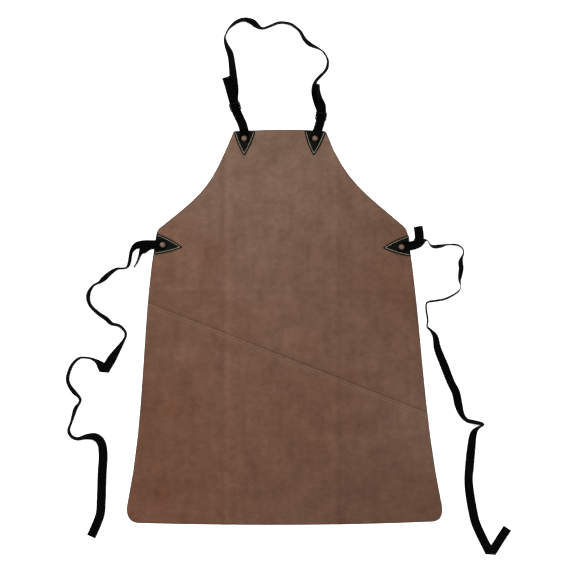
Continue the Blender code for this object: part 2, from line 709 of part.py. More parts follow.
def build_neck_strap(parts):
    ends = {}
    for side in BUCKLES:
        frame = buckle_frame(side)
        ends[side] = [frame @ Vector((0, reach, 0)) for reach in (1.8 * MM, buckle_length() / 2)]
    shift = {side: scaled(*spec["at"]) - Vector(spec["at"]) * MM for side, spec in BUCKLES.items()}
    points = [(*point.xy, 0.0, 0.0) for point in ends["left"]]
    for i, (x, y, lean) in enumerate(NECK_STRAP):
        share = (i - NECK_END_POINTS) / (len(NECK_STRAP) - 1 - 2 * NECK_END_POINTS)
        spot = Vector((x, y)) * MM + shift["left"].lerp(shift["right"], min(max(share, 0.0), 1.0))
        points.append((spot.x, spot.y, 0.0, lean))
    points += [(*point.xy, 0.0, 0.0) for point in reversed(ends["right"])]
    free_webbing("neck_strap", points, parts)


def build_waist_webbing(name, rivet, route, base, clear, spacing, parts, cutters):
    """Webbing that is pierced by a rivet, crosses the apron's edge and comes down to the surface."""
    place = rivet_place(rivet)
    shift = place - Vector(RIVETS[rivet]["at"]) * MM
    first = Vector(route[0][:2]) * MM + shift
    start = place + (place - first).normalized() * WEB_PAST_RIVET
    under = base - GAP
    points = [(start.x, start.y, under, 0.0), (place.x, place.y, under, 0.0)]
    for x, y, lean in route:
        spot = Vector((x, y)) * MM + shift
        share = ((spot - place).length - clear) / EDGE_RAMP
        share = min(max(share, 0.0), 1.0)
        points.append((spot.x, spot.y, under * (1.0 - share), lean))
    strap = free_webbing(name, points, parts, spacing)
    cut_post_hole(strap, f"cut_{name}", place, base, cutters)


def main():
    clear_scene()
    parts = new_collection("welding_apron")
    cutters = new_collection("cutters")
    build_upper_panel(parts, cutters)
    build_lower_panel(parts)
    build_seam_threads(parts)
    for name in RIVETS:
        build_patch(name, parts)
        base = SECOND_WEB_Z if name.endswith("waist") else FIRST_WEB_Z
        build_rivet(name, base + WEB_THICK + GAP, parts)
    for side in BUCKLES:
        build_buckle(side, parts)
        build_tab(side, parts, cutters)
        build_tail(side, parts)
    build_neck_strap(parts)
    waist = [
        ("left_waist_tie", "left_waist", LEFT_TIE, SECOND_WEB_Z, TIE_CLEAR, POINT_SPACING),
        ("left_tie_short_end", "left_waist", LEFT_SHORT_END, FIRST_WEB_Z, SHORT_END_CLEAR, SHORT_SPACING),
        ("right_waist_tie", "right_waist", RIGHT_TIE, SECOND_WEB_Z, TIE_CLEAR, POINT_SPACING),
        ("right_tie_short_end", "right_waist", RIGHT_SHORT_END, FIRST_WEB_Z, SHORT_END_CLEAR, SHORT_SPACING),
    ]
    for name, rivet, route, base, clear, spacing in waist:
        build_waist_webbing(name, rivet, route, base, clear, spacing, parts, cutters)


main()
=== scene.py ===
# %% [markdown]
# # A suede welding apron
# Two panels of split leather are joined by a lapped seam. A leather patch and a copper rivet hold
# each of the black straps. The CAD model gives sizes and moving bodies. This lesson adds nap, weave,
# stitches and wear, in metres and in the CAD model's frame.

# %% Open the frame
import math
import random

import bmesh
import bpy
from mathutils import Matrix, Vector, noise


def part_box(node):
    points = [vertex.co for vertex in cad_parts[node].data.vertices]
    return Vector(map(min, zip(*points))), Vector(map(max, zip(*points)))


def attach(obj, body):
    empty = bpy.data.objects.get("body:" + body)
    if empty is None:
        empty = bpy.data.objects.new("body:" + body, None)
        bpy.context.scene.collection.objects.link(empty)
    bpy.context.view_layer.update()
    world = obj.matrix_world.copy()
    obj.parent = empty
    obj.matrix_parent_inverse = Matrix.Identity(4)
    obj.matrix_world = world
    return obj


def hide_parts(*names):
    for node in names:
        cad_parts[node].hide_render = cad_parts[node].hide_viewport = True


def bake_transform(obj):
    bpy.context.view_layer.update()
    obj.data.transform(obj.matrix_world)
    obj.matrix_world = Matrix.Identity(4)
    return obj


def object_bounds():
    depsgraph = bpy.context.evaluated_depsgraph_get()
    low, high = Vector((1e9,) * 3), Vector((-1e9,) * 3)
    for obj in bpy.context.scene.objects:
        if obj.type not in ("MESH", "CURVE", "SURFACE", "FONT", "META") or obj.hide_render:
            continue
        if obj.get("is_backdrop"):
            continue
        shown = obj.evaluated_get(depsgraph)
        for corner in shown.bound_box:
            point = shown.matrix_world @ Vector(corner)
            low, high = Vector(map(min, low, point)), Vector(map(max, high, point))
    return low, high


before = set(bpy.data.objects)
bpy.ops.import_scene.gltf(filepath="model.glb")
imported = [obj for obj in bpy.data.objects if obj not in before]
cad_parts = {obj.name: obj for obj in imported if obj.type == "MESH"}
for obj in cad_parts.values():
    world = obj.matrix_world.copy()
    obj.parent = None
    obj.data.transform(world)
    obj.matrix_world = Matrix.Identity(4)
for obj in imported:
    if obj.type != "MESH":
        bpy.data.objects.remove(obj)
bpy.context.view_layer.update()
MM = 0.001

# %% [markdown]
# ## Camera, floor and lights
# The apron lies on a pale table, seen from straight above through a long lens. A large soft lamp at
# the upper left gives folds and edges a faint bright side, and an even sky fills the shadows.

# %% Camera, floor and lights
VIEW_CENTRE = Vector((0.0066, 0.0760, 0.0))
VIEW_WIDTH = 1.119
LENS = 85.0
SENSOR = 36.0
FLOOR_DROP = 0.6 * MM

scene = bpy.context.scene
scene.view_settings.view_transform = "Standard"
camera_data = bpy.data.cameras.new("camera")
camera_data.lens = LENS
camera_data.sensor_width = SENSOR
camera = bpy.data.objects.new("camera", camera_data)
camera.location = VIEW_CENTRE + Vector((0, 0, VIEW_WIDTH * LENS / SENSOR))
scene.collection.objects.link(camera)
scene.camera = camera


def soft_lamp(name, place, size, power):
    """A square lamp that faces the apron's middle."""
    data = bpy.data.lights.new(name, "AREA")
    data.size = size
    data.energy = power
    lamp = bpy.data.objects.new(name, data)
    lamp.location = place
    lamp.rotation_mode = "QUATERNION"
    lamp.rotation_quaternion = (Vector(place) - VIEW_CENTRE).to_track_quat("Z", "Y")
    scene.collection.objects.link(lamp)


soft_lamp("key_lamp", (-2.6, 1.6, 3.4), 1.6, 170.0)
soft_lamp("fill_lamp", (2.4, -1.8, 3.2), 2.4, 50.0)
world = bpy.data.worlds.new("sky")
world.use_nodes = True
world.node_tree.nodes["Background"].inputs["Color"].default_value = (1.0, 1.0, 1.0, 1.0)
world.node_tree.nodes["Background"].inputs["Strength"].default_value = 1.12
scene.world = world

bm = bmesh.new()
bmesh.ops.create_grid(bm, x_segments=1, y_segments=1, size=4.0)
bmesh.ops.translate(bm, verts=bm.verts, vec=(0, 0, -FLOOR_DROP))
floor_mesh = bpy.data.meshes.new("floor")
bm.to_mesh(floor_mesh)
bm.free()
floor = bpy.data.objects.new("floor", floor_mesh)
scene.collection.objects.link(floor)
floor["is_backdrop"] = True
print("camera", round(camera.location.z, 3), "m above the floor")

# %% [markdown]
# ## A short way to write materials
# Every finish is a Principled shader with nodes for its pattern. Each call of this small class adds
# a node and gives back its output, so a recipe reads like a sum. Patterns read Object coordinates,
# which are metres on the apron, or the piece's own UV map and attributes.


# %% Finish: one material and its nodes
class Finish:
    """A Principled material, with short calls that add nodes to it."""

    def __init__(self, name, **sockets):
        self.material = bpy.data.materials.new(name)
        self.material.use_nodes = True
        self.tree = self.material.node_tree
        self.shader = self.tree.nodes["Principled BSDF"]
        for socket, value in sockets.items():
            self.shader.inputs[socket.replace("_", " ")].default_value = value

    def node(self, kind, inputs=(), **settings):
        made = self.tree.nodes.new(kind)
        for key, value in settings.items():
            setattr(made, key, value)
        for key, value in dict(inputs).items():
            if isinstance(value, bpy.types.NodeSocket):
                self.tree.links.new(value, made.inputs[key])
            else:
                made.inputs[key].default_value = value
        return made

    def place(self, scale=(1, 1, 1), turn=0.0, uv=False):
        """Object coordinates or the UV map, turned and scaled."""
        source = self.node("ShaderNodeTexCoord").outputs["UV" if uv else "Object"]
        spec = {"Vector": source, "Rotation": (0, 0, turn), "Scale": scale}
        return self.node("ShaderNodeMapping", spec).outputs[0]

    def attribute(self, name, output="Fac"):
        return self.node("ShaderNodeAttribute", attribute_name=name).outputs[output]

    def noise(self, place, scale, detail=3.0, rough=0.55, spread=1.0):
        """Noise around zero, about -spread to +spread."""
        spec = {"Vector": place, "Scale": scale, "Detail": detail, "Roughness": rough}
        grain = self.node("ShaderNodeTexNoise", spec).outputs[0]
        return self.times(self.math("SUBTRACT", grain, 0.5), 2.0 * spread)

    def math(self, operation, a, b=0.0, clamp=False):
        made = self.node("ShaderNodeMath", {0: a, 1: b}, operation=operation, use_clamp=clamp)
        return made.outputs[0]

    def times(self, a, b):
        return self.math("MULTIPLY", a, b)

    def add(self, *terms):
        total = terms[0]
        for term in terms[1:]:
            total = self.math("ADD", total, term)
        return total

    def mixed(self, *shares):
        """The sum of some patterns, each times its own share."""
        return self.add(*[self.times(pattern, share) for pattern, share in shares])

    def ramp(self, value, low, high, start=0.0, end=1.0):
        """The value from low to high becomes start to end, smoothly."""
        spec = {"Value": value, 1: low, 2: high, 3: start, 4: end}
        return self.node("ShaderNodeMapRange", spec, interpolation_type="SMOOTHSTEP").outputs[0]

    def blend(self, share, first, second):
        """A colour between two colours."""
        made = self.node("ShaderNodeMix", {0: share, 6: first, 7: second}, data_type="RGBA")
        return made.outputs[2]

    def shade(self, colour, value):
        """The colour made lighter or darker by a factor."""
        made = self.node("ShaderNodeVectorMath", {0: colour, "Scale": value}, operation="SCALE")
        return made.outputs[0]

    def bump(self, height, distance, strength=1.0):
        spec = {"Height": height, "Distance": distance, "Strength": strength}
        self.set("Normal", self.node("ShaderNodeBump", spec).outputs[0])

    def set(self, socket, value):
        self.tree.links.new(value, self.shader.inputs[socket])


def colour(red, green, blue):
    """A colour from the usual 0 to 255 screen values, as the shader's linear light."""
    shares = [value / 255 for value in (red, green, blue)]
    linear = [s / 12.92 if s <= 0.04 else ((s + 0.055) / 1.055) ** 2.4 for s in shares]
    return (*linear, 1.0)


table_top = Finish("table_top", Base_Color=(0.9, 0.9, 0.9, 1), Roughness=0.9)
table_top.shader.inputs["Emission Color"].default_value = (1, 1, 1, 1)
table_top.shader.inputs["Emission Strength"].default_value = 0.55
floor.data.materials.append(table_top.material)

# %% [markdown]
# ## Numbers that the pieces share
# These are the CAD model's own driving dimensions. Rivets are placed in millimetres from the middle
# of the body, with +Y towards the neck.

# %% Shared sizes and places
GAP = 0.3 * MM
LEATHER = 1.6 * MM
SEAM_AT = Vector((0, -56.0 * MM, 0))
SEAM_ANGLE = math.radians(-21.5)
SEAM_ALONG = Vector((math.cos(SEAM_ANGLE), math.sin(SEAM_ANGLE), 0))
SEAM_ACROSS = Vector((-SEAM_ALONG.y, SEAM_ALONG.x, 0))
LAP_FLAT = 15.6 * MM
LAP_RAMP = 9.0 * MM
SEAM_ROWS = (3.4 * MM, 8.4 * MM)
STITCH_GROOVE = 0.22 * MM
PATCH_THICK = 1.2 * MM
PATCH_BASE = 43.2 * MM
PATCH_HEIGHTS = {"bib": 50.4 * MM, "waist": 55.5 * MM}
WEB_WIDTH = 18.0 * MM
WEB_THICK = 1.3 * MM
RIVETS = {
    "left_bib": {"at": (-78.3, 366.1), "base": (-77.8, 380.3), "heading": -91.0},
    "right_bib": {"at": (58.9, 366.3), "base": (59.3, 380.3), "heading": -93.5},
    "left_waist": {"at": (-236.3, 159.9), "base": (-251.0, 161.5), "heading": -7.0},
    "right_waist": {"at": (226.6, 155.6), "base": (242.8, 158.0), "heading": -175.5},
}
PATCH_Z = LEATHER + GAP
PATCH_TOP = PATCH_Z + PATCH_THICK
FIRST_WEB_Z = PATCH_TOP + GAP
SECOND_WEB_Z = FIRST_WEB_Z + WEB_THICK + GAP


def rivet_place(name):
    return Vector((*RIVETS[name]["at"], 0.0)) * MM


def ease(share):
    """0 below 0, 1 above 1, and smooth between."""
    share = min(max(share, 0.0), 1.0)
    return share * share * (3 - 2 * share)


def add_piece(name, bm, finish, body=None, stands_for=(), smooth=40.0):
    """Turn a bmesh into a finished object that rides on its body."""
    mesh = bpy.data.meshes.new(name)
    bm.to_mesh(mesh)
    bm.free()
    mesh.shade_smooth()
    mesh.set_sharp_from_angle(angle=math.radians(smooth))
    mesh.materials.append(finish.material)
    piece = bpy.data.objects.new(name, mesh)
    scene.collection.objects.link(piece)
    if body:
        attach(piece, body)
    if stands_for:
        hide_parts(*stands_for)
    print(name, len(mesh.polygons), "faces")
    return piece


# %% [markdown]
# ## Webbing
# The straps are black woven webbing. Thick warp yarns run along it and float over thinner weft
# yarns, so its face is a fine brick of bumps. Two sine waves make that weave. They read a UV map in
# metres, U across the strap and V along it, so the pattern follows every bend. The yarn tops are
# painted paler as a painted highlight, and noise adds fibres and worn patches.

# %% Webbing finish
WARP_PITCH = 1.3 * MM
WEFT_PITCH = 1.9 * MM
WEB_DARK = colour(0, 0, 0)
# The pale colour is painted highlight on the yarn tops, and wear.
WEB_HIGHLIGHT_AND_WEAR = colour(15, 17, 14)

webbing = Finish("webbing", Roughness=0.62, Specular_IOR_Level=0.003)
uv = webbing.node("ShaderNodeSeparateXYZ", {0: webbing.place(uv=True)})
across_wave = webbing.math("SINE", webbing.times(uv.outputs[0], math.pi / WARP_PITCH))
along_wave = webbing.math("SINE", webbing.times(uv.outputs[1], math.pi / WEFT_PITCH))
weave = webbing.times(across_wave, along_wave)
yarn = webbing.math("POWER", webbing.math("ABSOLUTE", weave), 0.55)
warp_up = webbing.ramp(weave, -0.15, 0.15, 0.55, 1.0)
fibre = webbing.noise(webbing.place((3.2, 0.5, 1), uv=True), 2600.0, 2.0, 0.6, 0.30)
worn = webbing.noise(webbing.place(), 38.0, 4.0, 0.6, 0.45)
height = webbing.times(yarn, warp_up)
# Painted highlight: the yarn tops are paler. Fibre and worn add fibre colour and real wear.
yarn_highlight_and_wear = webbing.math("MULTIPLY", webbing.add(height, fibre, worn), 0.62, clamp=True)
sealed = webbing.attribute("sealed")
yarn_highlight_and_wear = webbing.times(yarn_highlight_and_wear, webbing.ramp(sealed, 0.0, 1.0, 1.0, 0.25))
webbing.set("Base Color", webbing.blend(yarn_highlight_and_wear, WEB_DARK, WEB_HIGHLIGHT_AND_WEAR))
rough = webbing.add(webbing.ramp(height, 0.0, 1.0, 0.72, 0.56), fibre)
webbing.set("Roughness", webbing.add(rough, webbing.times(sealed, -0.25)))
webbing.bump(webbing.mixed((height, 1.0), (fibre, 0.3)), 0.28 * MM, 0.9)
print("weave", round(WEB_WIDTH / WARP_PITCH), "yarns across")

# %% [markdown]
# ## Making a strap
# A curve with a flat profile could be a strap, but its twist is hard to steer. So a grid is rolled
# into a flat tube: one way goes round the strap's section, the other along its route. A station of
# the route is the strap's middle and the way across it.

# %% A strap from its stations
SEALED_LENGTH = 1.6 * MM
SEALED_SQUEEZE = 0.35
SELVEDGE = (1.1 * MM, 3.0 * MM)
SELVEDGE_DIP = 0.94
EDGE_INSET = 0.25 * MM
EDGE_SHARE = 0.72


def strap_section():
    """Points round the strap's section, as (across, up), starting at its right edge."""
    half = WEB_WIDTH / 2
    rise = WEB_THICK / 2
    outer, inner = SELVEDGE
    right = [
        (half, 0.0), (half - EDGE_INSET, rise * EDGE_SHARE), (half - outer, rise),
        (half - inner, rise * SELVEDGE_DIP), (inner, rise * SELVEDGE_DIP),
    ]
    upper = right + [(-u, h) for u, h in reversed(right)]
    return upper + [(-u, -h) for u, h in upper[1:-1]]


def strap_mesh(stations):
    """A closed flat strap; each station is (middle, way across its width, longer than 1 on a fold)."""
    section = strap_section()
    rows = len(stations) - 1
    columns = len(section)
    bm = bmesh.new()
    bmesh.ops.create_grid(bm, x_segments=columns, y_segments=rows, size=1.0)
    uv_layer = bm.loops.layers.uv.new("UVMap")
    sealed_layer = bm.verts.layers.float.new("sealed")
    run = [0.0]
    for (a, _), (b, _) in zip(stations, stations[1:]):
        run.append(run[-1] + (b - a).length)
    frames = []
    for i, (middle, across) in enumerate(stations):
        ahead = stations[min(i + 1, rows)][0] - stations[max(i - 1, 0)][0]
        frames.append((middle, across, across.cross(ahead).normalized()))
    for vert in bm.verts:
        k = round((vert.co.x + 1) / 2 * columns)
        i = round((vert.co.y + 1) / 2 * rows)
        u, h = section[k % columns]
        for loop in vert.link_loops:
            loop[uv_layer].uv = (u, run[i])
        middle, side, up = frames[i]
        end = min(run[i], run[-1] - run[i])
        vert[sealed_layer] = 1.0 - ease(end / SEALED_LENGTH)
        squeeze = 1.0 - SEALED_SQUEEZE * vert[sealed_layer]
        vert.co = middle + side * u + up * h * squeeze
    bmesh.ops.remove_doubles(bm, verts=bm.verts, dist=0.01 * MM)
    rims = [edge for edge in bm.edges if edge.is_boundary]
    bmesh.ops.holes_fill(bm, edges=rims, sides=0)
    bmesh.ops.recalc_face_normals(bm, faces=bm.faces)
    return bm


# %% [markdown]
# ## Routes of the free webbing
# A loose strap mostly stands on its edge, and lies flat only near a fold. So each point of a route
# is x and y in millimetres and a lean, from 0 degrees lying flat to 90 on its edge. The stretch ON
# is what follows a flat fold. A smooth curve through the points gives the soft bends.

# %% Routes in millimetres and degrees
NECK_STRAP = [
    (-99, 446, 0), (-98, 461, 12), (-99, 480, 28), (-103, 517, 46), (-106, 531, 50), (-112, 544, 66),
    (-116, 558, 78), (-114, 567, 80), (-108, 578, 74), (-99, 587, 64), (-90, 593, 58), (-77, 596, 54),
    (-63, 592, 42), (-55, 585, 48), (-48, 580, 62), (-40, 579, 68), (-29, 583, 68), (-14, 589, 66),
    (-2, 590, 66), (12, 587, 66), (21, 581, 68), (30, 573, 68), (36, 562, 66), (41, 555, 60),
    (49, 548, 56), (59, 543, 66), (69, 538, 76), (76, 532, 78), (82, 522, 78), (84, 513, 78),
    (82, 502, 78), (77, 494, 82), (68, 485, 80), (61, 477, 78), (57, 467, 68), (57, 455, 55),
    (61, 444, 32), (66, 433, 8), (69, 426, 0),
]
LEFT_TIE = [
    (-257, 160, 0), (-269, 160, 8), (-286, 158, 45), (-296, 147, 75), (-299, 134, 80), (-301, 124, 80),
    (-304, 117, 85), (-311, 114, 85), (-325, 113, 80), (-339, 104, 70), (-350, 94, 65), (-358, 87, 80),
    (-371, 80, 85), (-380, 63, 75), (-377, 44, 80), (-362, 28, 75), (-346, 17, 70), (-335, 7, 75),
    (-320, 3, 80), (-309, -8, 85), (-308, -18, 85), (-315, -31, 75), (-329, -52, 40), (-340, -69, 0),
    (-350.5, -87, 0),
]
LEFT_TIE_ON = [
    (-350.5, -87, 0), (-355, -76, 10), (-363, -67, 55), (-374, -61, 74), (-384, -59, 78),
    (-398, -60, 80), (-412, -74, 80), (-420, -97, 80), (-417, -112, 80), (-407, -126, 75), (-398, -135, 85),
    (-396, -144, 85), (-405, -158, 75), (-412, -181, 85), (-418, -199, 85), (-413, -211, 85),
    (-401, -216, 78), (-384, -212, 62), (-366, -213, 40), (-355, -226, 25), (-352, -250, 20),
    (-354, -282, 15), (-355, -313, 15), (-356, -335, 5), (-358, -362, 0), (-366, -385, 0),
    (-376, -407, 0),
]
RIGHT_TIE = [
    (246, 158, 0), (258, 162, 10), (267, 167, 55), (273, 169, 80), (278, 166, 85), (281, 160, 82),
    (288, 156, 70), (300, 157, 70), (315, 160, 85), (331, 160, 81), (340, 157, 81),
    (346, 150, 81), (346, 142, 80), (343, 134, 70), (341, 126, 55), (342, 114, 54), (340, 100, 60),
    (339, 90, 72), (341, 79, 85),
    (337, 70, 81), (324, 61, 80), (308, 54, 80), (290, 51, 81), (276, 48, 81), (274, 36, 79),
    (277, 14, 79), (276, 1, 80), (283, -6, 75), (292, -19, 50), (297, -43, 32), (310, -75, 22),
    (322, -106, 26), (332, -126, 20), (337, -149, 22), (343, -168, 50), (353, -180, 68),
    (369, -184, 72), (383, -187, 76), (386, -189.5, 78), (383, -191, 76), (375, -195, 66), (366, -207, 34),
    (362, -237, 12), (359, -270, 5), (357, -297, 15), (360, -326, 0), (366, -360, 0), (374, -388, 0),
    (399.7, -440.7, 0),
]
RIGHT_TIE_ON = [(399.7, -440.7, 0), (433, -390, 0)]
LEFT_SHORT_END = [
    (-256, 160, 0), (-264, 158, 0), (-270, 154, -5), (-274, 150, -16), (-278, 145, -56),
    (-280.5, 139, -70), (-283, 132, -74), (-286, 125, -78), (-292, 115, -84),
]
RIGHT_SHORT_END = [(246, 158, 0), (256, 162, 0), (261, 171, 0), (261, 183, 0), (259, 196, 0)]
STRAP_STEP = 2.5 * MM
LEAN_SHARE = 0.95
WEB_PAST_RIVET = 3.8 * MM
TIE_CLEAR = 45.0 * MM
SHORT_END_CLEAR = 26.0 * MM
EDGE_RAMP = 22.0 * MM


# %% From a route to stations
def smooth_route(points, spacing):
    """Even steps along a smooth curve through the points; the first two numbers of each are x and y."""
    ends = [points[0]] + list(points) + [points[-1]]
    dense = []
    for i in range(1, len(ends) - 2):
        p0, p1, p2, p3 = (Vector(ends[i + k]) for k in (-1, 0, 1, 2))
        for step in range(16):
            t = step / 16
            bend = (2 * p0 - 5 * p1 + 4 * p2 - p3) * t * t + (3 * p1 - p0 - 3 * p2 + p3) * t ** 3
            dense.append(0.5 * (2 * p1 + (p2 - p0) * t + bend))
    dense.append(Vector(ends[-1]))
    run = [0.0]
    for a, b in zip(dense, dense[1:]):
        run.append(run[-1] + (b - a).xy.length)
    count = max(2, round(run[-1] / spacing))
    result = []
    index = 0
    for step in range(count + 1):
        want = run[-1] * step / count
        while index < len(run) - 2 and run[index + 1] < want:
            index += 1
        share = (want - run[index]) / max(run[index + 1] - run[index], 1e-9)
        result.append(dense[index].lerp(dense[index + 1], min(share, 1.0)))
    return result


def way_across(route, i):
    """The way across the strap at a point of its route, turned by its lean."""
    ahead = (route[min(i + 1, len(route) - 1)] - route[max(i - 1, 0)]).xy.normalized()
    lean = math.radians(min(max(route[i][3], -90.0), 90.0))
    return Vector((ahead.y, -ahead.x, 0)) * math.cos(lean) + Vector((0, 0, math.sin(lean)))


def lying_height(lean):
    """How high the strap's middle is over the table when it leans that far."""
    lean = math.radians(min(abs(lean), 90.0))
    return WEB_WIDTH / 2 * math.sin(lean) + WEB_THICK / 2 * math.cos(lean) + GAP


def strap_stations(points):
    """Stations along (x, y, height under it, lean) points."""
    route = smooth_route(points, STRAP_STEP)
    stations = []
    for spot in route:
        spot[3] *= LEAN_SHARE
    for i, (x, y, under, lean) in enumerate(route):
        middle = Vector((x, y, max(under, 0.0) + lying_height(lean)))
        stations.append((middle, way_across(route, i)))
    return stations


def riveted_points(rivet, route, base, clear):
    """Route points of a strap that starts under a rivet and comes down past the apron's edge."""
    place = rivet_place(rivet)
    first = Vector((*route[0][:2], 0)) * MM
    start = place + (place - first).normalized() * WEB_PAST_RIVET
    under = base - GAP
    points = [(start.x, start.y, under, 0.0), (place.x, place.y, under, 0.0)]
    for x, y, lean in route:
        spot = Vector((x, y, 0)) * MM
        share = min(max(((spot - place).length - clear) / EDGE_RAMP, 0.0), 1.0)
        points.append((spot.x, spot.y, under * (1.0 - share), lean))
    return points


# %% [markdown]
# ## A flat fold
# A flat strap that turns folds over itself along a slanted line, with its other face up. Sections
# stay square up to the fold. Then one long section lies on the fold line in each layer and one in
# the bend between them.

# %% Folding a strap flat
FOLD_BULGE = 0.5 * MM
FOLD_RUN_OUT = 0.7 * WEB_WIDTH


def flat_fold(before, after):
    """One list of stations from a stretch that ends at a fold and the stretch that leaves it."""
    corner = before[-1][0]
    ahead = (corner - before[-3][0]).normalized()
    away = (after[2][0] - after[0][0]).normalized()
    line = (ahead + away).normalized()
    if line.dot(before[-1][1]) < 0:
        line = -line
    steep = abs(line.cross(ahead).z)
    reach = WEB_WIDTH / 2 * abs(line.dot(ahead)) / steep
    outward = (ahead - line * ahead.dot(line)).normalized() * FOLD_BULGE
    layer = Vector((0, 0, WEB_THICK + GAP))
    long_way = line / steep
    stations = [s for s in before if (s[0] - corner).length > reach + MM]
    stations.append((corner - ahead * reach, before[-1][1]))
    stations += [(corner, long_way), (corner + outward + layer / 2, long_way), (corner + layer, long_way)]
    stations.append((corner + away * reach + layer, -after[0][1]))
    for middle, across in after:
        far = (middle - corner).length - reach
        if far > MM:
            lift = layer * (1.0 - ease((far - FOLD_RUN_OUT) / WEB_WIDTH))
            stations.append((middle + lift, -across))
    return stations


# %% [markdown]
# ## The buckles' own frame and the neck webbing
# Each neck buckle is a slider with three bars and two slots. A tab from the bib holds its lowest
# bar. The neck strap goes over the middle bar, and its spare end lies on past the buckle. A matrix
# for each buckle lets its webbing be written in the buckle's own directions.

# %% Buckle sizes and frame
BAR = 2.6 * MM
SLOT = 4.0 * MM
BUCKLE_SIDE = 2.0 * MM
BUCKLE_THICK = 2.4 * MM
BUCKLE_PLAY = 0.15 * MM
BUCKLE_LENGTH = 3 * BAR + 2 * SLOT
BUCKLE_Z = 3 * GAP + 2 * WEB_THICK
OVER_BARS = BUCKLE_Z + BUCKLE_THICK + GAP + WEB_THICK / 2
BUCKLES = {"left": {"at": (-96.0, 427.7), "turn": 16.0}, "right": {"at": (70.7, 409.2), "turn": -8.0}}
TAB_START_TURN = {"left": -5.0, "right": -17.0}
TAB_PULLS = (1.4, 0.7)
BIB_TOP = 382.5 * MM
UNDER_MIDDLE_BAR = 1.8 * MM
TAILS = {
    "left": [
        (-99.6, 440.2, 4.6, 0), (-101.9, 448.2, 6.2, 0), (-105.6, 461.3, 7.8, 0), (-109.0, 473.5, 8.5, 0),
        (-113.0, 485.0, 8.5, 0),
    ],
    "right": [
        (71.8, 421.5, 4.4, 0), (71.4, 427.0, 6.6, -5), (70.2, 434.0, 8.6, -25), (67.8, 444.0, 9.4, -50),
        (65.2, 458.0, 10.0, -62), (64.0, 471.0, 10.0, -62),
    ],
}


def buckle_frame(side):
    place = Vector((*BUCKLES[side]["at"], 0.0)) * MM
    return Matrix.Translation(place) @ Matrix.Rotation(math.radians(BUCKLES[side]["turn"]), 4, "Z")


def fine_steps(stations, step):
    """The same stations with small even steps between them."""
    result = []
    for (a, side_a), (b, side_b) in zip(stations, stations[1:]):
        count = max(1, round((b - a).length / step))
        for k in range(count):
            result.append((a.lerp(b, k / count), side_a.lerp(side_b, k / count)))
    result.append(stations[-1])
    return result


def on_table(route):
    return [(x * MM, y * MM, 0.0, lean) for x, y, lean in route]


def neck_points():
    points = []
    for side in ("left", "right"):
        frame_of = buckle_frame(side)
        ends = [frame_of @ Vector((0, reach, 0)) for reach in (UNDER_MIDDLE_BAR, BUCKLE_LENGTH / 2)]
        near = [(end.x, end.y, 0.0, 0.0) for end in ends]
        points += near + on_table(NECK_STRAP) if side == "left" else near[::-1]
    return points


def free_strap(name, points, body, stands_for, on=()):
    """A loose strap along its points; `on` is its second stretch, past a flat fold."""
    stations = strap_stations(points)
    if on:
        stations = flat_fold(stations, strap_stations(on_table(on)))
    piece = add_piece(name, strap_mesh(stations), webbing, body, [stands_for])


free_strap("neck_webbing", neck_points(), "neck_loop", "neck_strap")
for side, route, on in (("left", LEFT_TIE, LEFT_TIE_ON), ("right", RIGHT_TIE, RIGHT_TIE_ON)):
    points = riveted_points(f"{side}_waist", route, SECOND_WEB_Z, TIE_CLEAR)
    free_strap(f"{side}_tie_webbing", points, f"{side}_tie", f"{side}_waist_tie", on)
for side, route in (("left", LEFT_SHORT_END), ("right", RIGHT_SHORT_END)):
    points = riveted_points(f"{side}_waist", route, FIRST_WEB_Z, SHORT_END_CLEAR)
    free_strap(f"{side}_tie_spare_end", points, f"{side}_tie", f"{side}_tie_short_end")


# %% [markdown]
# ## The strap's spare ends at the buckles
# The webbing comes up through the lower slot, over the middle bar, down through the upper slot and
# out under the top bar. That path is drawn in the buckle's frame, a gap clear of each bar. Then the
# spare end runs on over the neck strap.

# %% Spare ends past the buckles
def tail_stations(side):
    frame_of = buckle_frame(side)
    across = frame_of.to_3x3() @ Vector((1, 0, 0))
    low = lying_height(0.0)
    second = low + WEB_THICK + GAP
    bar = BAR / 2 + GAP + WEB_THICK / 2
    wrap = [
        (-0.4 * MM, low), (-bar + 0.7 * MM, low), (-bar + 0.2 * MM, low + 0.2 * MM),
        (-bar, low + 0.8 * MM), (-bar, OVER_BARS - 0.8 * MM), (-bar + 0.2 * MM, OVER_BARS - 0.2 * MM),
        (-bar + 0.7 * MM, OVER_BARS), (bar - 0.7 * MM, OVER_BARS), (bar - 0.2 * MM, OVER_BARS - 0.2 * MM),
        (bar, OVER_BARS - 0.8 * MM), (bar, second + 0.8 * MM), (bar + 0.2 * MM, second + 0.2 * MM),
        (bar + 0.8 * MM, second), (BUCKLE_LENGTH / 2 + 1.0 * MM, second),
    ]
    stations = [(frame_of @ Vector((0, v, z)), across) for v, z in wrap]
    last = stations[-1][0]
    route = [(last.x, last.y, last.z, 0.0)]
    route += [(x * MM, y * MM, z * MM, lean) for x, y, z, lean in TAILS[side]]
    free = smooth_route(route, STRAP_STEP)
    stations += [(free[i].xyz, way_across(free, i)) for i in range(1, len(free))]
    return fine_steps(stations, 2.0 * MM)


for side in BUCKLES:
    tail = strap_mesh(tail_stations(side))
    add_piece(f"{side}_neck_spare_end", tail, webbing, "neck_loop", [f"neck_strap_{side}_end"])


# %% [markdown]
# ## The tabs under the buckles
# A tab is a short strap that starts under the bib's rivet, comes up through its buckle's lower slot
# and doubles back over the lowest bar.

# %% Tabs
TAB_DOUBLE = 20.0 * MM
TAB_RAMP_SHARE = 0.22
TAB_PAST_EDGE = 0.08
SLOT_CLOSE = 0.6 * MM
TAB_LANDING = 6.5 * MM


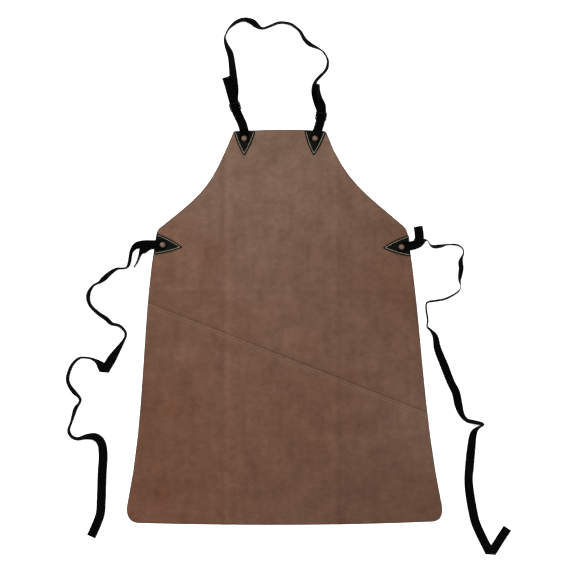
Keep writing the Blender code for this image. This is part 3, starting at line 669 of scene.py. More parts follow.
def plan_curve(start, start_turn, end, end_turn, t):
    """A point and its heading on a smooth plan line between two places."""
    reach = (end - start).length
    leave = Vector((-math.sin(start_turn), math.cos(start_turn), 0)) * reach * TAB_PULLS[0]
    arrive = Vector((-math.sin(end_turn), math.cos(end_turn), 0)) * reach * TAB_PULLS[1]
    point = start * (2 * t ** 3 - 3 * t * t + 1) + leave * (t ** 3 - 2 * t * t + t)
    point += end * (3 * t * t - 2 * t ** 3) + arrive * (t ** 3 - t * t)
    heading = start * (6 * t * t - 6 * t) + leave * (3 * t * t - 4 * t + 1)
    heading += end * (6 * t - 6 * t * t) + arrive * (3 * t * t - 2 * t)
    return point, heading.normalized()


def tab_stations(side):
    rivet = rivet_place(f"{side}_bib")
    frame_of = buckle_frame(side)
    turn = math.radians(BUCKLES[side]["turn"])
    half = BUCKLE_LENGTH / 2
    foot = frame_of @ Vector((0, -half, 0))
    flat_to = (BIB_TOP - rivet.y) / (foot.y - rivet.y) + TAB_PAST_EDGE
    low = lying_height(0.0)
    high = FIRST_WEB_Z + WEB_THICK / 2

    def layer(share, lift):
        point, heading = plan_curve(rivet, math.radians(TAB_START_TURN[side]), foot, turn, share)
        drop = (low - high) * ease((share - flat_to) / TAB_RAMP_SHARE)
        return Vector((point.x, point.y, high + drop + lift)), Vector((heading.y, -heading.x, 0))

    reach = (foot - rivet).length
    stations = [layer(-WEB_PAST_RIVET / reach, 0.0)]
    stations += [layer(step / 16, 0.0) for step in range(16)]
    across = frame_of.to_3x3() @ Vector((1, 0, 0))
    inner = -half + BAR + GAP + WEB_THICK / 2 + SLOT_CLOSE
    wrap = [
        (-half + 0.5 * MM, low), (inner - 0.8 * MM, low), (inner - 0.2 * MM, low + 0.3 * MM),
        (inner, low + 0.9 * MM), (inner, OVER_BARS - 0.9 * MM), (inner - 0.2 * MM, OVER_BARS - 0.3 * MM),
        (inner - 0.8 * MM, OVER_BARS), (-half - 0.2 * MM, OVER_BARS),
        (-half - 0.9 * MM, OVER_BARS - 0.4 * MM), (-half - 3.0 * MM, OVER_BARS - 2.4 * MM),
    ]
    stations += [(frame_of @ Vector((0, v, z)), across) for v, z in wrap]
    landing = 1.0 - TAB_LANDING / reach
    end = 1.0 - TAB_DOUBLE / reach
    for step in range(7):
        stations.append(layer(landing + (end - landing) * step / 6, WEB_THICK + GAP * 1.5))
    return fine_steps(stations, 1.5 * MM)


for side in BUCKLES:
    tab = strap_mesh(tab_stations(side))
    piece = add_piece(f"{side}_tab_webbing", tab, webbing, None, [f"{side}_tab"])
    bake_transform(piece)

# %% [markdown]
# ## The hide's colour
# Split leather takes dye unevenly. A few places with their own colour, mixed by distance, give the
# broad changes. Small soft spots make it redder or paler. Beside each fold lie a dark line of painted
# shade and a pale line of painted highlight, for the light on the fold's ridge. A colour attribute
# holds it all, so the panels match across the seam.

# %% Tones, and painted shade and highlight by the folds, on the hide
HIDE_TONES = [
    (0, 350, (124, 98, 82)), (-100, 240, (126, 98, 83)), (50, 250, (126, 98, 83)), (150, 210, (116, 87, 71)),
    (-210, 140, (122, 90, 73)), (-60, 150, (122, 93, 78)), (80, 130, (117, 88, 72)),
    (210, 90, (111, 80, 64)), (-240, 20, (117, 86, 69)), (-140, -30, (117, 85, 69)),
    (0, 10, (118, 88, 72)), (130, -20, (114, 85, 69)), (240, -60, (113, 83, 68)),
    (-230, -160, (113, 79, 62)), (-90, -120, (116, 84, 68)), (60, -150, (111, 80, 64)),
    (270, -190, (116, 89, 74)), (-150, -290, (113, 79, 62)), (20, -280, (110, 79, 63)),
    (200, -280, (107, 78, 64)), (-240, -350, (111, 76, 59)), (0, -355, (110, 80, 65)),
    (150, -350, (103, 75, 61)), (270, -350, (104, 75, 60)),
]
TONE_REACH = 75.0
HIDE_LIGHTNESS = 0.52
# Soft spots: x, y, half width, half height in millimetres, and what each does to red, green and blue
HIDE_SPOTS = [
    (-144, 140, 26, 28, (0.93, 0.81, 0.77)), (-235, 110, 20, 9, (0.96, 0.90, 0.87)),
    (-158, -70, 22, 26, (0.98, 0.90, 0.87)), (-222, -158, 60, 10, (0.98, 0.89, 0.86)),
    (-120, 225, 40, 10, (1.04, 1.06, 1.08)), (-30, 30, 60, 6, (1.05, 1.07, 1.08)),
    (60, 200, 26, 12, (0.96, 0.95, 0.94)), (-60, -250, 46, 20, (1.05, 1.07, 1.08)),
    (110, -215, 60, 9, (1.05, 1.07, 1.08)), (170, -60, 20, 30, (1.04, 1.05, 1.05)),
    (-250, 60, 14, 40, (0.95, 0.91, 0.89)), (150, -95, 52, 8, (0.97, 0.92, 0.90)),
    (-238, -320, 22, 46, (0.98, 0.92, 0.90)), (-80, -75, 18, 26, (1.06, 1.08, 1.09)),
    (-20, -120, 34, 7, (1.05, 1.07, 1.08)), (-190, 40, 30, 6, (0.97, 0.93, 0.91)),
]
LEFT_FOLD_X = -117.0
RIGHT_FOLD_X = 104.0
CROSS_FOLD_Y = 76.0
# Painted highlight and painted shade lines beside the folds: the axis across them, the place, the half
# width, the change
FOLD_SHADE_AND_HIGHLIGHT_LINES = (
    ("x", LEFT_FOLD_X + 6, 7, 0.12), ("x", LEFT_FOLD_X - 3, 5, -0.12), ("x", RIGHT_FOLD_X - 7, 6, 0.06),
    ("x", RIGHT_FOLD_X, 5, -0.09), ("y", CROSS_FOLD_Y, 5, 0.06), ("y", CROSS_FOLD_Y - 8, 5, -0.05),
)


def bell(distance, width):
    return math.exp(-((distance / width) ** 2))


def hide_colour_and_fold_shade(point):
    """The hide's colour at a place, in linear light, with painted shade and highlight beside the folds."""
    x, y = point.x * 1000, point.y * 1000
    total = 0.0
    tone = Vector((0, 0, 0))
    for at_x, at_y, screen in HIDE_TONES:
        weight = bell(math.hypot(x - at_x, y - at_y), TONE_REACH) + 1e-6
        tone += Vector(colour(*screen)[:3]) * weight
        total += weight
    tone /= total
    for at_x, at_y, wide, high, change in HIDE_SPOTS:
        share = bell(math.hypot((x - at_x) / wide, (y - at_y) / high), 1.0)
        tone = Vector(t * (1 + (c - 1) * share) for t, c in zip(tone, change))
    across = {"x": x, "y": y}
    # Painted shade and painted highlight beside each fold, for the light on its ridge.
    fold_shade_and_highlight = sum(change * bell(across[axis] - at, width) for axis, at, width, change in FOLD_SHADE_AND_HIGHLIGHT_LINES)
    drift = 0.09 * noise.noise(Vector((x * 0.014, y * 0.024, 2.0)))
    drift += 0.06 * noise.noise(Vector((x * 0.045, y * 0.060, 5.0)))
    redder = Vector((1.0 + 0.7 * drift, 1.0 + drift, 1.0 + 1.2 * drift))
    return tone * redder * (1.0 + fold_shade_and_highlight) * HIDE_LIGHTNESS


print("hide colour in the middle", [round(c, 3) for c in hide_colour_and_fold_shade(Vector((0, 0, 0)))])

# %% [markdown]
# ## The suede finish
# Suede is the hide's flesh side. Close up it is short fibres. From a step back it is soft streaks,
# where the nap leans one way or the other. Noise at several sizes gives both, in colour, roughness
# and bump. The cut edge is painted darker: partly bare fibre where the dye soaked in, partly painted
# shadow along the rim.

# %% Suede finish
suede = Finish("suede", Roughness=0.95, Specular_IOR_Level=0.04)
spot = suede.place()
lain = suede.place((0.75, 1.0, 1.0))
fibres = suede.noise(suede.place((0.8, 1.0, 1.0)), 2100.0, 4.0, 0.7)
nap = suede.noise(lain, 420.0, 4.0, 0.62)
streaks = suede.noise(lain, 105.0, 3.0, 0.55)
clouds = suede.noise(spot, 24.0, 3.0, 0.5)
upright = suede.noise(suede.place((1.0, 0.22, 1.0)), 60.0, 3.0, 0.5)
pattern = suede.mixed((fibres, 0.24), (nap, 0.24), (streaks, 0.23), (clouds, 0.20), (upright, 0.16))
# The cut edge is painted darker: partly its own darker dye, partly painted shadow along the rim.
edge = suede.attribute("edge")
pattern = suede.math("ADD", pattern, suede.ramp(edge, 0.1, 0.9, 1.0, 0.34))
# The tone attribute carries the hide's colour together with the painted fold shade and highlight.
dyed = suede.shade(suede.attribute("tone", "Color"), pattern)
suede.set("Base Color", dyed)
suede.set("Roughness", suede.add(0.93, suede.times(nap, 0.08)))
suede.bump(suede.mixed((fibres, 0.6), (nap, 1.0), (streaks, 0.8)), 0.35 * MM, 0.75)

# %% [markdown]
# ## How the hide lies
# Thick leather keeps low, broad waves and the ridge of each fold that it was packed with. One
# function gives that height anywhere, so panels, stitches and lap agree. Near a rivet the waves die
# away, because patches and webbing are built on flat leather there.

# %% Height of the hide
WAVE_HEIGHT = 1.5 * MM
FOLD_HEIGHT = 0.8 * MM
CALM_NEAR = 34.0 * MM
CALM_FAR = 80.0 * MM


def hide_wave(point):
    """How far the hide's underside is off the table."""
    x, y = point.x, point.y
    wave = noise.noise(Vector((x * 5.0, y * 7.5, 0.4))) + 0.35 * noise.noise(Vector((x * 14, y * 17, 3.1)))
    height = WAVE_HEIGHT * (0.5 + 0.5 * wave)
    left = bell(x * 1000 - LEFT_FOLD_X, 5.0) + 0.5 * bell(x * 1000 - LEFT_FOLD_X - 5, 12.0)
    right = bell(x * 1000 - RIGHT_FOLD_X, 5.0) + 0.4 * bell(x * 1000 - RIGHT_FOLD_X - 5, 12.0)
    cross = 0.5 * bell(y * 1000 - CROSS_FOLD_Y, 6.0)
    height += FOLD_HEIGHT * (left + right + cross)
    calm = 1.0
    for name in RIVETS:
        calm *= ease(((point - rivet_place(name)).xy.length - CALM_NEAR) / (CALM_FAR - CALM_NEAR))
    return max(height, 0.0) * calm


def lap_lift(point):
    """How far the lower panel climbs, to lie on the upper one along the seam."""
    depth = (SEAM_AT - point).dot(SEAM_ACROSS)
    return (LEATHER + GAP) * (1.0 - ease((depth - LAP_FLAT) / LAP_RAMP))


def seam_groove(point):
    """Each row of stitches pulls the leather down a little."""
    depth = (SEAM_AT - point).dot(SEAM_ACROSS)
    return -STITCH_GROOVE * sum(bell(depth - row, 0.9 * MM) for row in SEAM_ROWS)


# %% [markdown]
# ## Cutting a skin
# A leather piece starts as its CAD solid's outline: the top faces of a copy, welded, filled and
# dissolved into one flat face. Two insets make the rounded rim. `bisect_plane` cuts the inside into
# small squares that can follow the waves, and the skin is thickened last.

# %% Cutting a skin from a CAD outline
HIDE_STEP = 5.0 * MM
RIM_STEPS = ((0.7 * MM, 0.85), (1.5 * MM, 0.0))


def cad_skin(node):
    """One flat face with the CAD node's outline, as a bmesh."""
    bm = bmesh.new()
    bm.from_mesh(bpy.data.objects[node].data)
    bmesh.ops.remove_doubles(bm, verts=bm.verts, dist=0.01 * MM)
    bm.normal_update()
    under = [face for face in bm.faces if face.normal.z < 0.5]
    bmesh.ops.delete(bm, geom=under, context="FACES")
    for vert in bm.verts:
        vert.co.z = 0.0
    rims = [edge for edge in bm.edges if edge.is_boundary]
    bmesh.ops.holes_fill(bm, edges=short_loops(rims), sides=0)
    bmesh.ops.dissolve_faces(bm, faces=bm.faces[:], use_verts=False)
    for face in bm.faces:
        if face.normal.z < 0:
            face.normal_flip()
    return bm


def short_loops(rims):
    """The edges of every closed loop but the longest, which is the outline."""
    left = set(rims)
    loops = []
    while left:
        front = [left.pop()]
        loop = []
        while front:
            edge = front.pop()
            loop.append(edge)
            near = [e for vert in edge.verts for e in vert.link_edges if e in left]
            left.difference_update(near)
            front += near
        loops.append(loop)
    loops.sort(key=lambda loop: sum(edge.calc_length() for edge in loop))
    return [edge for loop in loops[:-1] for edge in loop]


def add_rim(bm, rings):
    """Rings inside the outline; the edge attribute is 1 on the cut edge and falls to 0."""
    edge_layer = bm.verts.layers.float.new("edge")
    for vert in bm.verts:
        vert[edge_layer] = 1.0
    for width, share in rings:
        inner = max(bm.faces, key=lambda face: face.calc_area())
        bmesh.ops.inset_region(
            bm, faces=[inner], thickness=width, use_boundary=True, use_even_offset=True
        )
        for vert in inner.verts:
            vert[edge_layer] = share
    return edge_layer


def cut_lines(bm, direction, places):
    """Cut the skin along lines square to the direction, at those places along it."""
    for place in places:
        geometry = bm.verts[:] + bm.edges[:] + bm.faces[:]
        bmesh.ops.bisect_plane(
            bm, geom=geometry, dist=1e-6, plane_co=Vector(direction) * place, plane_no=direction
        )


def cut_squares(bm, step):
    for axis, direction in enumerate(((1, 0, 0), (0, 1, 0))):
        low = min(vert.co[axis] for vert in bm.verts)
        high = max(vert.co[axis] for vert in bm.verts)
        count = math.floor((high - low) / step)
        cut_lines(bm, direction, [low + step * (k + 0.5) for k in range(count)])


def thicken(bm, thickness):
    """Give the open skin an underside, the same thickness below it everywhere."""
    top = bm.faces[:]
    made = bmesh.ops.duplicate(bm, geom=bm.verts[:] + bm.edges[:] + top)
    lower_verts = [item for item in made["geom"] if isinstance(item, bmesh.types.BMVert)]
    lower_faces = [item for item in made["geom"] if isinstance(item, bmesh.types.BMFace)]
    bmesh.ops.translate(bm, verts=lower_verts, vec=(0, 0, -thickness))
    bmesh.ops.reverse_faces(bm, faces=lower_faces)
    rims = [edge for edge in bm.edges if edge.is_boundary]
    bmesh.ops.bridge_loops(bm, edges=rims)
    return bm


# %% The two panels
LAP_EDGE_SHARE = 0.45
HIDE_EDGE_SINK = 0.3 * MM
ROW_CUTS = (-1.2 * MM, 0.0, 1.2 * MM)
BURR_SEAT = 4.8 * MM
BURR_SEAT_DEPTH = 0.9 * MM
POST_HOLE = 2.3 * MM
CUTTER_PAST = 20 * MM


def paint_tone(bm):
    layer = bm.verts.layers.float_color.new("tone")
    for vert in bm.verts:
        vert[layer] = (*hide_colour_and_fold_shade(vert.co), 1.0)


def sink_rim(bm, edge_layer, depth):
    for vert in bm.verts:
        vert.co.z -= depth * vert[edge_layer] ** 2


def panel_skin(node, lapped):
    bm = cad_skin(node)
    edge_layer = add_rim(bm, RIM_STEPS)
    cut_squares(bm, HIDE_STEP)
    if lapped:
        depths = [row + off for row in SEAM_ROWS for off in ROW_CUTS]
        depths += [LAP_FLAT + LAP_RAMP * step / 4 for step in range(5)]
        cut_lines(bm, SEAM_ACROSS, [SEAM_AT.dot(SEAM_ACROSS) - depth for depth in depths])
    bmesh.ops.triangulate(bm, faces=[face for face in bm.faces if len(face.verts) > 4])
    paint_tone(bm)
    for vert in bm.verts:
        depth = (SEAM_AT - vert.co).dot(SEAM_ACROSS)
        # Near the seam the rim's painted shadow and its sink are made weaker.
        if lapped and depth < LAP_FLAT:
            vert[edge_layer] *= LAP_EDGE_SHARE
        lift = lap_lift(vert.co) + seam_groove(vert.co) if lapped else 0.0
        vert.co.z = LEATHER + hide_wave(vert.co) + lift
    sink_rim(bm, edge_layer, HIDE_EDGE_SINK)
    return thicken(bm, LEATHER - 0.05 * MM)


def seat_burrs(panel):
    """Cut the seats for the rivets' burrs into the underside, with one cutter."""
    bm = bmesh.new()
    for name in RIVETS:
        seat = (BURR_SEAT, BURR_SEAT_DEPTH - CUTTER_PAST / 2, CUTTER_PAST)
        hole = (POST_HOLE, 0.0, CUTTER_PAST)
        for radius, middle, depth in (seat, hole):
            place = Matrix.Translation(rivet_place(name) + Vector((0, 0, middle)))
            bmesh.ops.create_cone(
                bm, cap_ends=True, segments=32, radius1=radius, radius2=radius, depth=depth, matrix=place
            )
    mesh = bpy.data.meshes.new("seat_cutter")
    bm.to_mesh(mesh)
    bm.free()
    cutter = bpy.data.objects.new("seat_cutter", mesh)
    scene.collection.objects.link(cutter)
    cut = panel.modifiers.new("seats", "BOOLEAN")
    cut.object = cutter
    cut.operation = "DIFFERENCE"
    cut.solver = "EXACT"
    cut.use_self = True
    bpy.context.view_layer.update()
    depsgraph = bpy.context.evaluated_depsgraph_get()
    made = bpy.data.meshes.new_from_object(panel.evaluated_get(depsgraph))
    panel.modifiers.clear()
    old, panel.data = panel.data, made
    bpy.data.meshes.remove(old)
    bpy.data.objects.remove(cutter)


def hide_panel(name, node, lapped):
    return add_piece(name, panel_skin(node, lapped), suede, "apron", [node])


upper = hide_panel("upper_hide", "upper_panel", False)
lower = hide_panel("lower_hide", "lower_panel", True)
seat_burrs(upper)
print("upper panel after its rivet seats", len(upper.data.polygons), "faces")

# %% [markdown]
# ## Stitches
# From above, a stitch is a fat grain of thread with both ends pulled into the leather. A stretched
# low-poly sphere is enough for one that is set hundreds of times. The seam's thread is olive from
# handling, and the patches' thread is cream.

# %% Thread finishes
TWIST_AROUND = 12.6
TWIST_ALONG = 18.8 / 1.1


def thread_finish(name, dark, pale):
    thread = Finish(name, Roughness=0.55, Specular_IOR_Level=0.4, Sheen_Weight=0.1)
    uv = thread.node("ShaderNodeSeparateXYZ", {0: thread.place(uv=True)})
    turns = thread.mixed((uv.outputs[0], TWIST_AROUND), (uv.outputs[1], TWIST_ALONG))
    twist = thread.times(thread.add(thread.math("SINE", turns), 1.0), 0.5)
    dirt = thread.noise(thread.place(), 210.0, 3.0, 0.6, 0.6)
    share = thread.math("ADD", thread.times(twist, 0.55), thread.add(0.25, dirt), clamp=True)
    thread.set("Base Color", thread.blend(share, dark, pale))
    thread.set("Roughness", thread.ramp(twist, 0.0, 1.0, 0.75, 0.5))
    thread.bump(twist, 0.12 * MM, 0.8)
    return thread


cream_thread = thread_finish("cream_thread", colour(100, 92, 74), colour(186, 176, 148))
olive_thread = thread_finish("olive_thread", colour(72, 55, 40), colour(116, 96, 70))

# %% Rows of stitches
SEAM_STITCH = 4.2 * MM
PATCH_STITCH = 3.2 * MM
STITCH_GAP = 0.5 * MM
SEAM_THREAD = 0.9 * MM
PATCH_THREAD = 0.85 * MM
SEAM_ROW_END = 1.0 * MM
THREAD_FLATNESS = 0.84
THREAD_SINK = 0.16


def stitch(bm, start, end, thick, rng):
    """One stitch between two holes, a little out of line as by a sewing machine on thick hide."""
    along = end - start
    length = along.length - STITCH_GAP
    turn = along.to_track_quat("X", "Z").to_matrix().to_4x4()
    wobble = Matrix.Rotation(math.radians(rng.uniform(-3.0, 3.0)), 4, "Z")
    size = Matrix.Diagonal((length / 2, thick / 2, thick / 2 * THREAD_FLATNESS, 1.0))
    middle = Matrix.Translation((start + end) / 2)
    matrix = middle @ turn @ wobble @ size @ Matrix.Rotation(math.pi / 2, 4, "Y")
    bmesh.ops.create_uvsphere(bm, u_segments=8, v_segments=6, radius=1.0, matrix=matrix, calc_uvs=True)


def stitch_row(bm, start, end, pitch, height, thick, rng):
    """Stitches from start to end; height(point) is the surface they lie on."""
    count = max(1, round((end - start).length / pitch))
    holes = []
    for k in range(count + 1):
        hole = start.lerp(end, k / count)
        holes.append(Vector((hole.x, hole.y, height(hole) + thick * THREAD_SINK)))
    for a, b in zip(holes, holes[1:]):
        stitch(bm, a, b, thick, rng)
    return count


# %% The two rows of the seam
def lower_top(point):
    return LEATHER + hide_wave(point) + lap_lift(point) + seam_groove(point)


def on_row(x, y, depth):
    """The nearest place on the row that runs that far below the lap's cut edge."""
    run = (Vector((x, y, 0)) - SEAM_AT).dot(SEAM_ALONG)
    return SEAM_AT - SEAM_ACROSS * depth + SEAM_ALONG * run


for depth, node in zip(SEAM_ROWS, ("seam_thread_upper", "seam_thread_lower")):
    rng = random.Random(7)
    low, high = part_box(node)
    first = on_row(low.x + SEAM_ROW_END, high.y - SEAM_ROW_END, depth)
    last = on_row(high.x - SEAM_ROW_END, low.y + SEAM_ROW_END, depth)
    bm = bmesh.new()
    count = stitch_row(bm, first, last, SEAM_STITCH, lower_top, SEAM_THREAD, rng)
    add_piece(f"{node}_stitches", bm, olive_thread, "apron", [node], smooth=80.0)
    print(node, count, "stitches")

# %% [markdown]
# ## Patches
# Each patch is a triangle of black leather with its grain side up. Its long sides are sewn, and the
# stitches press a groove. The skin is cut as the hide's is, with finer squares, and the cut edge is
# paler where the dye has worn off.

# %% Black patch leather
grained = Finish("patch_leather", Roughness=0.55, Specular_IOR_Level=0.04)
grain_at = grained.place()
cells = {"Vector": grain_at, "Scale": 820.0}
pebbles = grained.node("ShaderNodeTexVoronoi", cells, feature="SMOOTH_F1").outputs["Distance"]
pores = grained.noise(grain_at, 2600.0, 3.0, 0.6, 0.5)
scuffs = grained.noise(grained.place((1, 2.4, 1)), 120.0, 5.0, 0.65, 0.9)
rubbed = grained.attribute("edge")
wear = grained.mixed((scuffs, 0.55), (rubbed, 0.30), (pebbles, 0.22), (pores, 0.15))
wear = grained.math("MAXIMUM", wear, 0.0)
grained.set("Base Color", grained.blend(wear, colour(2, 3, 1), colour(20, 20, 14)))
grained.set("Roughness", grained.add(0.50, grained.times(scuffs, 0.18)))
grained.bump(grained.mixed((pebbles, 1.0), (pores, 0.4)), 0.25 * MM, 0.55)

# %% The patches and their stitches
PATCH_STEP = 1.6 * MM
PATCH_STITCH_SIDE = 4.2 * MM
PATCH_STITCH_TIP = 7.6 * MM
PATCH_STITCH_FOOT = 2.4 * MM
PATCH_STITCH_BULGE = 1.4 * MM
STITCH_LINE_STEPS = 5
PATCH_RIM = ((0.4 * MM, 0.55), (0.7 * MM, 0.0))
PATCH_EDGE_SINK = 0.35 * MM
PATCH_THREAD_Z = PATCH_TOP - 0.12 * MM


def patch_frame(name):
    """Origin at the middle of the patch's base, +Y towards its tip."""
    base = Vector((*RIVETS[name]["base"], 0.0)) * MM
    turn = math.radians(RIVETS[name]["heading"] - 90.0)
    return Matrix.Translation(base) @ Matrix.Rotation(turn, 4, "Z")


def stitch_line(name):
    """The V of a patch's stitches, from foot to tip to foot, each side a little bulged."""
    tip = PATCH_HEIGHTS[name.split("_")[1]] - PATCH_STITCH_TIP
    foot_x = PATCH_BASE / 2 - PATCH_STITCH_SIDE
    foot = PATCH_STITCH_FOOT
    line = [Vector((-foot_x, foot, 0.0))]
    for a, b in (((-foot_x, foot), (0.0, tip)), ((0.0, tip), (foot_x, foot))):
        out = Vector((a[1] - b[1], b[0] - a[0], 0.0)).normalized() * PATCH_STITCH_BULGE
        for step in range(1, STITCH_LINE_STEPS + 1):
            share = step / STITCH_LINE_STEPS
            line.append(Vector((*a, 0.0)).lerp(Vector((*b, 0.0)), share) + out * 4 * share * (1 - share))
    return [patch_frame(name) @ point for point in line]


def off_line(point, a, b):
    """Distance from a point to the stretch from a to b, seen from above."""
    run = (b - a).xy
    share = min(max((point - a).xy.dot(run) / run.length_squared, 0.0), 1.0)
    return ((point - a).xy - run * share).length


def patch_skin(name, line):
    bm = cad_skin(f"{name}_patch")
    edge_layer = add_rim(bm, PATCH_RIM)
    cut_squares(bm, PATCH_STEP)
    bmesh.ops.triangulate(bm, faces=[face for face in bm.faces if len(face.verts) > 4])
    for vert in bm.verts:
        near = min(off_line(vert.co, a, b) for a, b in zip(line, line[1:]))
        rough = 0.05 * MM * noise.noise(vert.co * 160)
        vert.co.z = PATCH_TOP - STITCH_GROOVE * bell(near, 1.1 * MM) + rough
    sink_rim(bm, edge_layer, PATCH_EDGE_SINK)
    return thicken(bm, PATCH_THICK - 0.1 * MM)


for name in RIVETS:
    line = stitch_line(name)
    skin = patch_skin(name, line)
    add_piece(f"{name}_patch_skin", skin, grained, "apron", [f"{name}_patch"])
    rng = random.Random(11)
    bm = bmesh.new()
    for a, b in zip(line, line[1:]):
        stitch_row(bm, a, b, PATCH_STITCH, lambda point: PATCH_THREAD_Z, PATCH_THREAD, rng)
    sewn = [f"{name}_patch_thread"]
    add_piece(f"{name}_patch_stitches", bm, cream_thread, "apron", sewn, smooth=80.0)

# %% [markdown]
# ## Rivets and burrs
# A rivet is a turned shape, so its half outline is spun: a low dome with a rolled rim, then the post
# down to the burr. Handled copper goes brown and stays bright on the crown, where things rub on it;
# that paler crown is also a painted highlight, and a thin ring of painted highlight lies on the
# rolled rim. The burrs on the back come from the CAD model and take the same metal.

# %% Aged copper
copper = Finish("aged_copper", Metallic=0.45, Roughness=0.5, Specular_IOR_Level=0.15)
tarnish = copper.noise(copper.place(), 420.0, 5.0, 0.62, 0.9)
scratches = copper.noise(copper.place((0.3, 5.0, 1.0), turn=0.6), 900.0, 2.0, 0.5, 0.8)
# Paler where this attribute is high: polished wear and painted highlight on the dome, painted highlight on
# the rim.
polish_and_highlight = copper.times(copper.attribute("polish_and_highlight"), 0.75)
bright = copper.math("ADD", polish_and_highlight, copper.times(tarnish, 0.6), clamp=True)
copper.set("Base Color", copper.blend(bright, colour(30, 22, 17), colour(116, 92, 78)))
dulled = copper.ramp(bright, 0.0, 1.0, 0.62, 0.38)
copper.set("Roughness", copper.add(dulled, copper.times(scratches, 0.08)))
copper.bump(copper.mixed((tarnish, 1.0), (scratches, 0.5)), 0.10 * MM, 0.5)

# %% Rivets
CAP_RADIUS = 5.5 * MM
CAP_STEPS = 40
POST_RADIUS = 2.0
POST_FOOT = ((POST_RADIUS, 0.15), (0.0, 0.10))
RIM_AT = 5.35
RIM_WIDTH = 0.35
RIM_HIGHLIGHT = 0.4
# Half the cap's outline in millimetres: radius, and height over the webbing
CAP_PROFILE = (
    (0.0, 1.62), (1.0, 1.66), (2.2, 1.74), (3.2, 1.66), (4.1, 1.36), (4.7, 1.00), (5.0, 0.78), (5.25, 0.74),
    (5.45, 0.60), (5.50, 0.38), (5.42, 0.14), (5.20, 0.02), (4.6, 0.0), (POST_RADIUS, 0.0),
)


def rivet_mesh(name, under_cap):
    bm = bmesh.new()
    profile = [(radius * MM, under_cap + height * MM) for radius, height in CAP_PROFILE]
    profile += [(radius * MM, height * MM) for radius, height in POST_FOOT]
    verts = [bm.verts.new((radius, 0.0, height)) for radius, height in profile]
    for a, b in zip(verts, verts[1:]):
        bm.edges.new((a, b))
    outline = bm.verts[:] + bm.edges[:]
    bmesh.ops.spin(
        bm, geom=outline, cent=(0, 0, 0), axis=(0, 0, 1), angle=2 * math.pi, steps=CAP_STEPS, use_merge=True
    )
    bmesh.ops.remove_doubles(bm, verts=bm.verts, dist=0.005 * MM)
    bmesh.ops.recalc_face_normals(bm, faces=bm.faces)
    layer = bm.verts.layers.float.new("polish_and_highlight")
    for vert in bm.verts:
        away = vert.co.xy.length
        # Paler towards the dome's middle, for polished wear and painted highlight, with a ring of painted
        # highlight on the rim.
        rim_highlight = bell(away / MM - RIM_AT, RIM_WIDTH) * RIM_HIGHLIGHT
        vert[layer] = max(ease(1.25 - away / CAP_RADIUS), rim_highlight) if vert.co.z > under_cap else 0.0
    bmesh.ops.translate(bm, verts=bm.verts, vec=rivet_place(name))
    return bm


for name in RIVETS:
    base = SECOND_WEB_Z if name.endswith("waist") else FIRST_WEB_Z
    bm = rivet_mesh(name, base + WEB_THICK + GAP)
    add_piece(f"{name}_rivet_cap", bm, copper, "apron", [f"{name}_rivet"], smooth=60.0)
    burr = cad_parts[f"{name}_burr"]
    burr.data.materials.clear()
    burr.data.materials.append(copper.material)

# %% [markdown]
# ## Neck buckles
# The sliders are moulded plastic. A grid of three by five cells has the right lines: two of its
# cells are deleted as slots, the rest is pulled up to its thickness, and a bevel gives every bar
# the round edge that a mould leaves.

# %% Moulded black plastic
plastic = Finish("moulded_plastic", Roughness=0.5, Specular_IOR_Level=0.05)
orange_peel = plastic.noise(plastic.place(), 1500.0, 3.0, 0.5, 0.6)
rub_marks = plastic.noise(plastic.place((1, 4, 1), turn=0.3), 260.0, 5.0, 0.65, 0.8)
marked = plastic.math("MAXIMUM", plastic.times(rub_marks, 0.8), 0.0)
plastic.set("Base Color", plastic.blend(marked, colour(3, 4, 3), colour(22, 24, 21)))
plastic.set("Roughness", plastic.add(0.48, plastic.times(rub_marks, 0.16)))
plastic.bump(orange_peel, 0.05 * MM, 0.5)

# %% Buckles
BUCKLE_ROUND = 0.7 * MM
BUCKLE_CORNER = 1.4 * MM
RIM_ANGLE = math.radians(60)


def grid_lines():
    half = WEB_WIDTH / 2 + BUCKLE_PLAY
    across = [-half - BUCKLE_SIDE, -half, half, half + BUCKLE_SIDE]
    along = [-BUCKLE_LENGTH / 2]
    for part in (BAR, SLOT, BAR, SLOT, BAR):
        along.append(along[-1] + part)
    return across, along


def round_off(bm, geometry, offset, segments, affect):
    bmesh.ops.bevel(
        bm, geom=geometry, offset=offset, segments=segments, profile=0.5, affect=affect, material=-1
    )


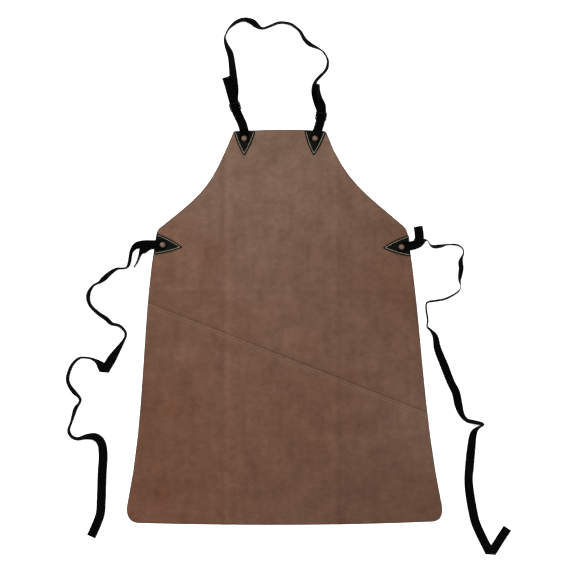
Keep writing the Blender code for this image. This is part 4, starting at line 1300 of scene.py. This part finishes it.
def buckle_mesh(side):
    across, along = grid_lines()
    bm = bmesh.new()
    bmesh.ops.create_grid(bm, x_segments=3, y_segments=5, size=1.0)
    for vert in bm.verts:
        vert.co.x = across[round((vert.co.x + 1) / 2 * 3)]
        vert.co.y = along[round((vert.co.y + 1) / 2 * 5)]
    middles = [(face, face.calc_center_median()) for face in bm.faces]
    slots = [face for face, at in middles if abs(at.x) < MM and BAR < abs(at.y) < BAR + SLOT / 2]
    bmesh.ops.delete(bm, geom=slots, context="FACES")
    corners = [vert for vert in bm.verts if len(vert.link_faces) == 1]
    round_off(bm, corners, BUCKLE_CORNER, 4, "VERTICES")
    raised = bmesh.ops.extrude_face_region(bm, geom=bm.faces[:])
    tops = [item for item in raised["geom"] if isinstance(item, bmesh.types.BMVert)]
    bmesh.ops.translate(bm, verts=tops, vec=(0, 0, BUCKLE_THICK))
    bmesh.ops.recalc_face_normals(bm, faces=bm.faces)
    sharp = [edge for edge in bm.edges if edge.calc_face_angle(0.0) > RIM_ANGLE]
    level = [edge for edge in sharp if abs(edge.verts[0].co.z - edge.verts[1].co.z) < MM / 10]
    round_off(bm, level, BUCKLE_ROUND, 3, "EDGES")
    bmesh.ops.translate(bm, verts=bm.verts, vec=(0, 0, BUCKLE_Z))
    bmesh.ops.transform(bm, matrix=buckle_frame(side), verts=bm.verts)
    return bm


for side in BUCKLES:
    slider = buckle_mesh(side)
    add_piece(f"{side}_slider", slider, plastic, "neck_loop", [f"{side}_buckle"], smooth=35.0)

# %% [markdown]
# ## The panels' flat areas
# The panels are sheets of hide laid flat; the flat area of each is printed, from its CAD solid seen
# from above.


def plan_area(node):
    """The flat area of a panel, from its CAD solid seen from above."""
    mesh = bpy.data.objects[node].data
    return sum(face.area * face.normal.z for face in mesh.polygons if face.normal.z > 0.3)


for piece, node in ((upper, "upper_panel"), (lower, "lower_panel")):
    low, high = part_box(node)
    print(piece.name, "flat area", round(plan_area(node), 4), "square metres")

# %% Size of the visual box
low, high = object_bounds()
print("visual box", [round(side * 1000, 1) for side in high - low], "mm")
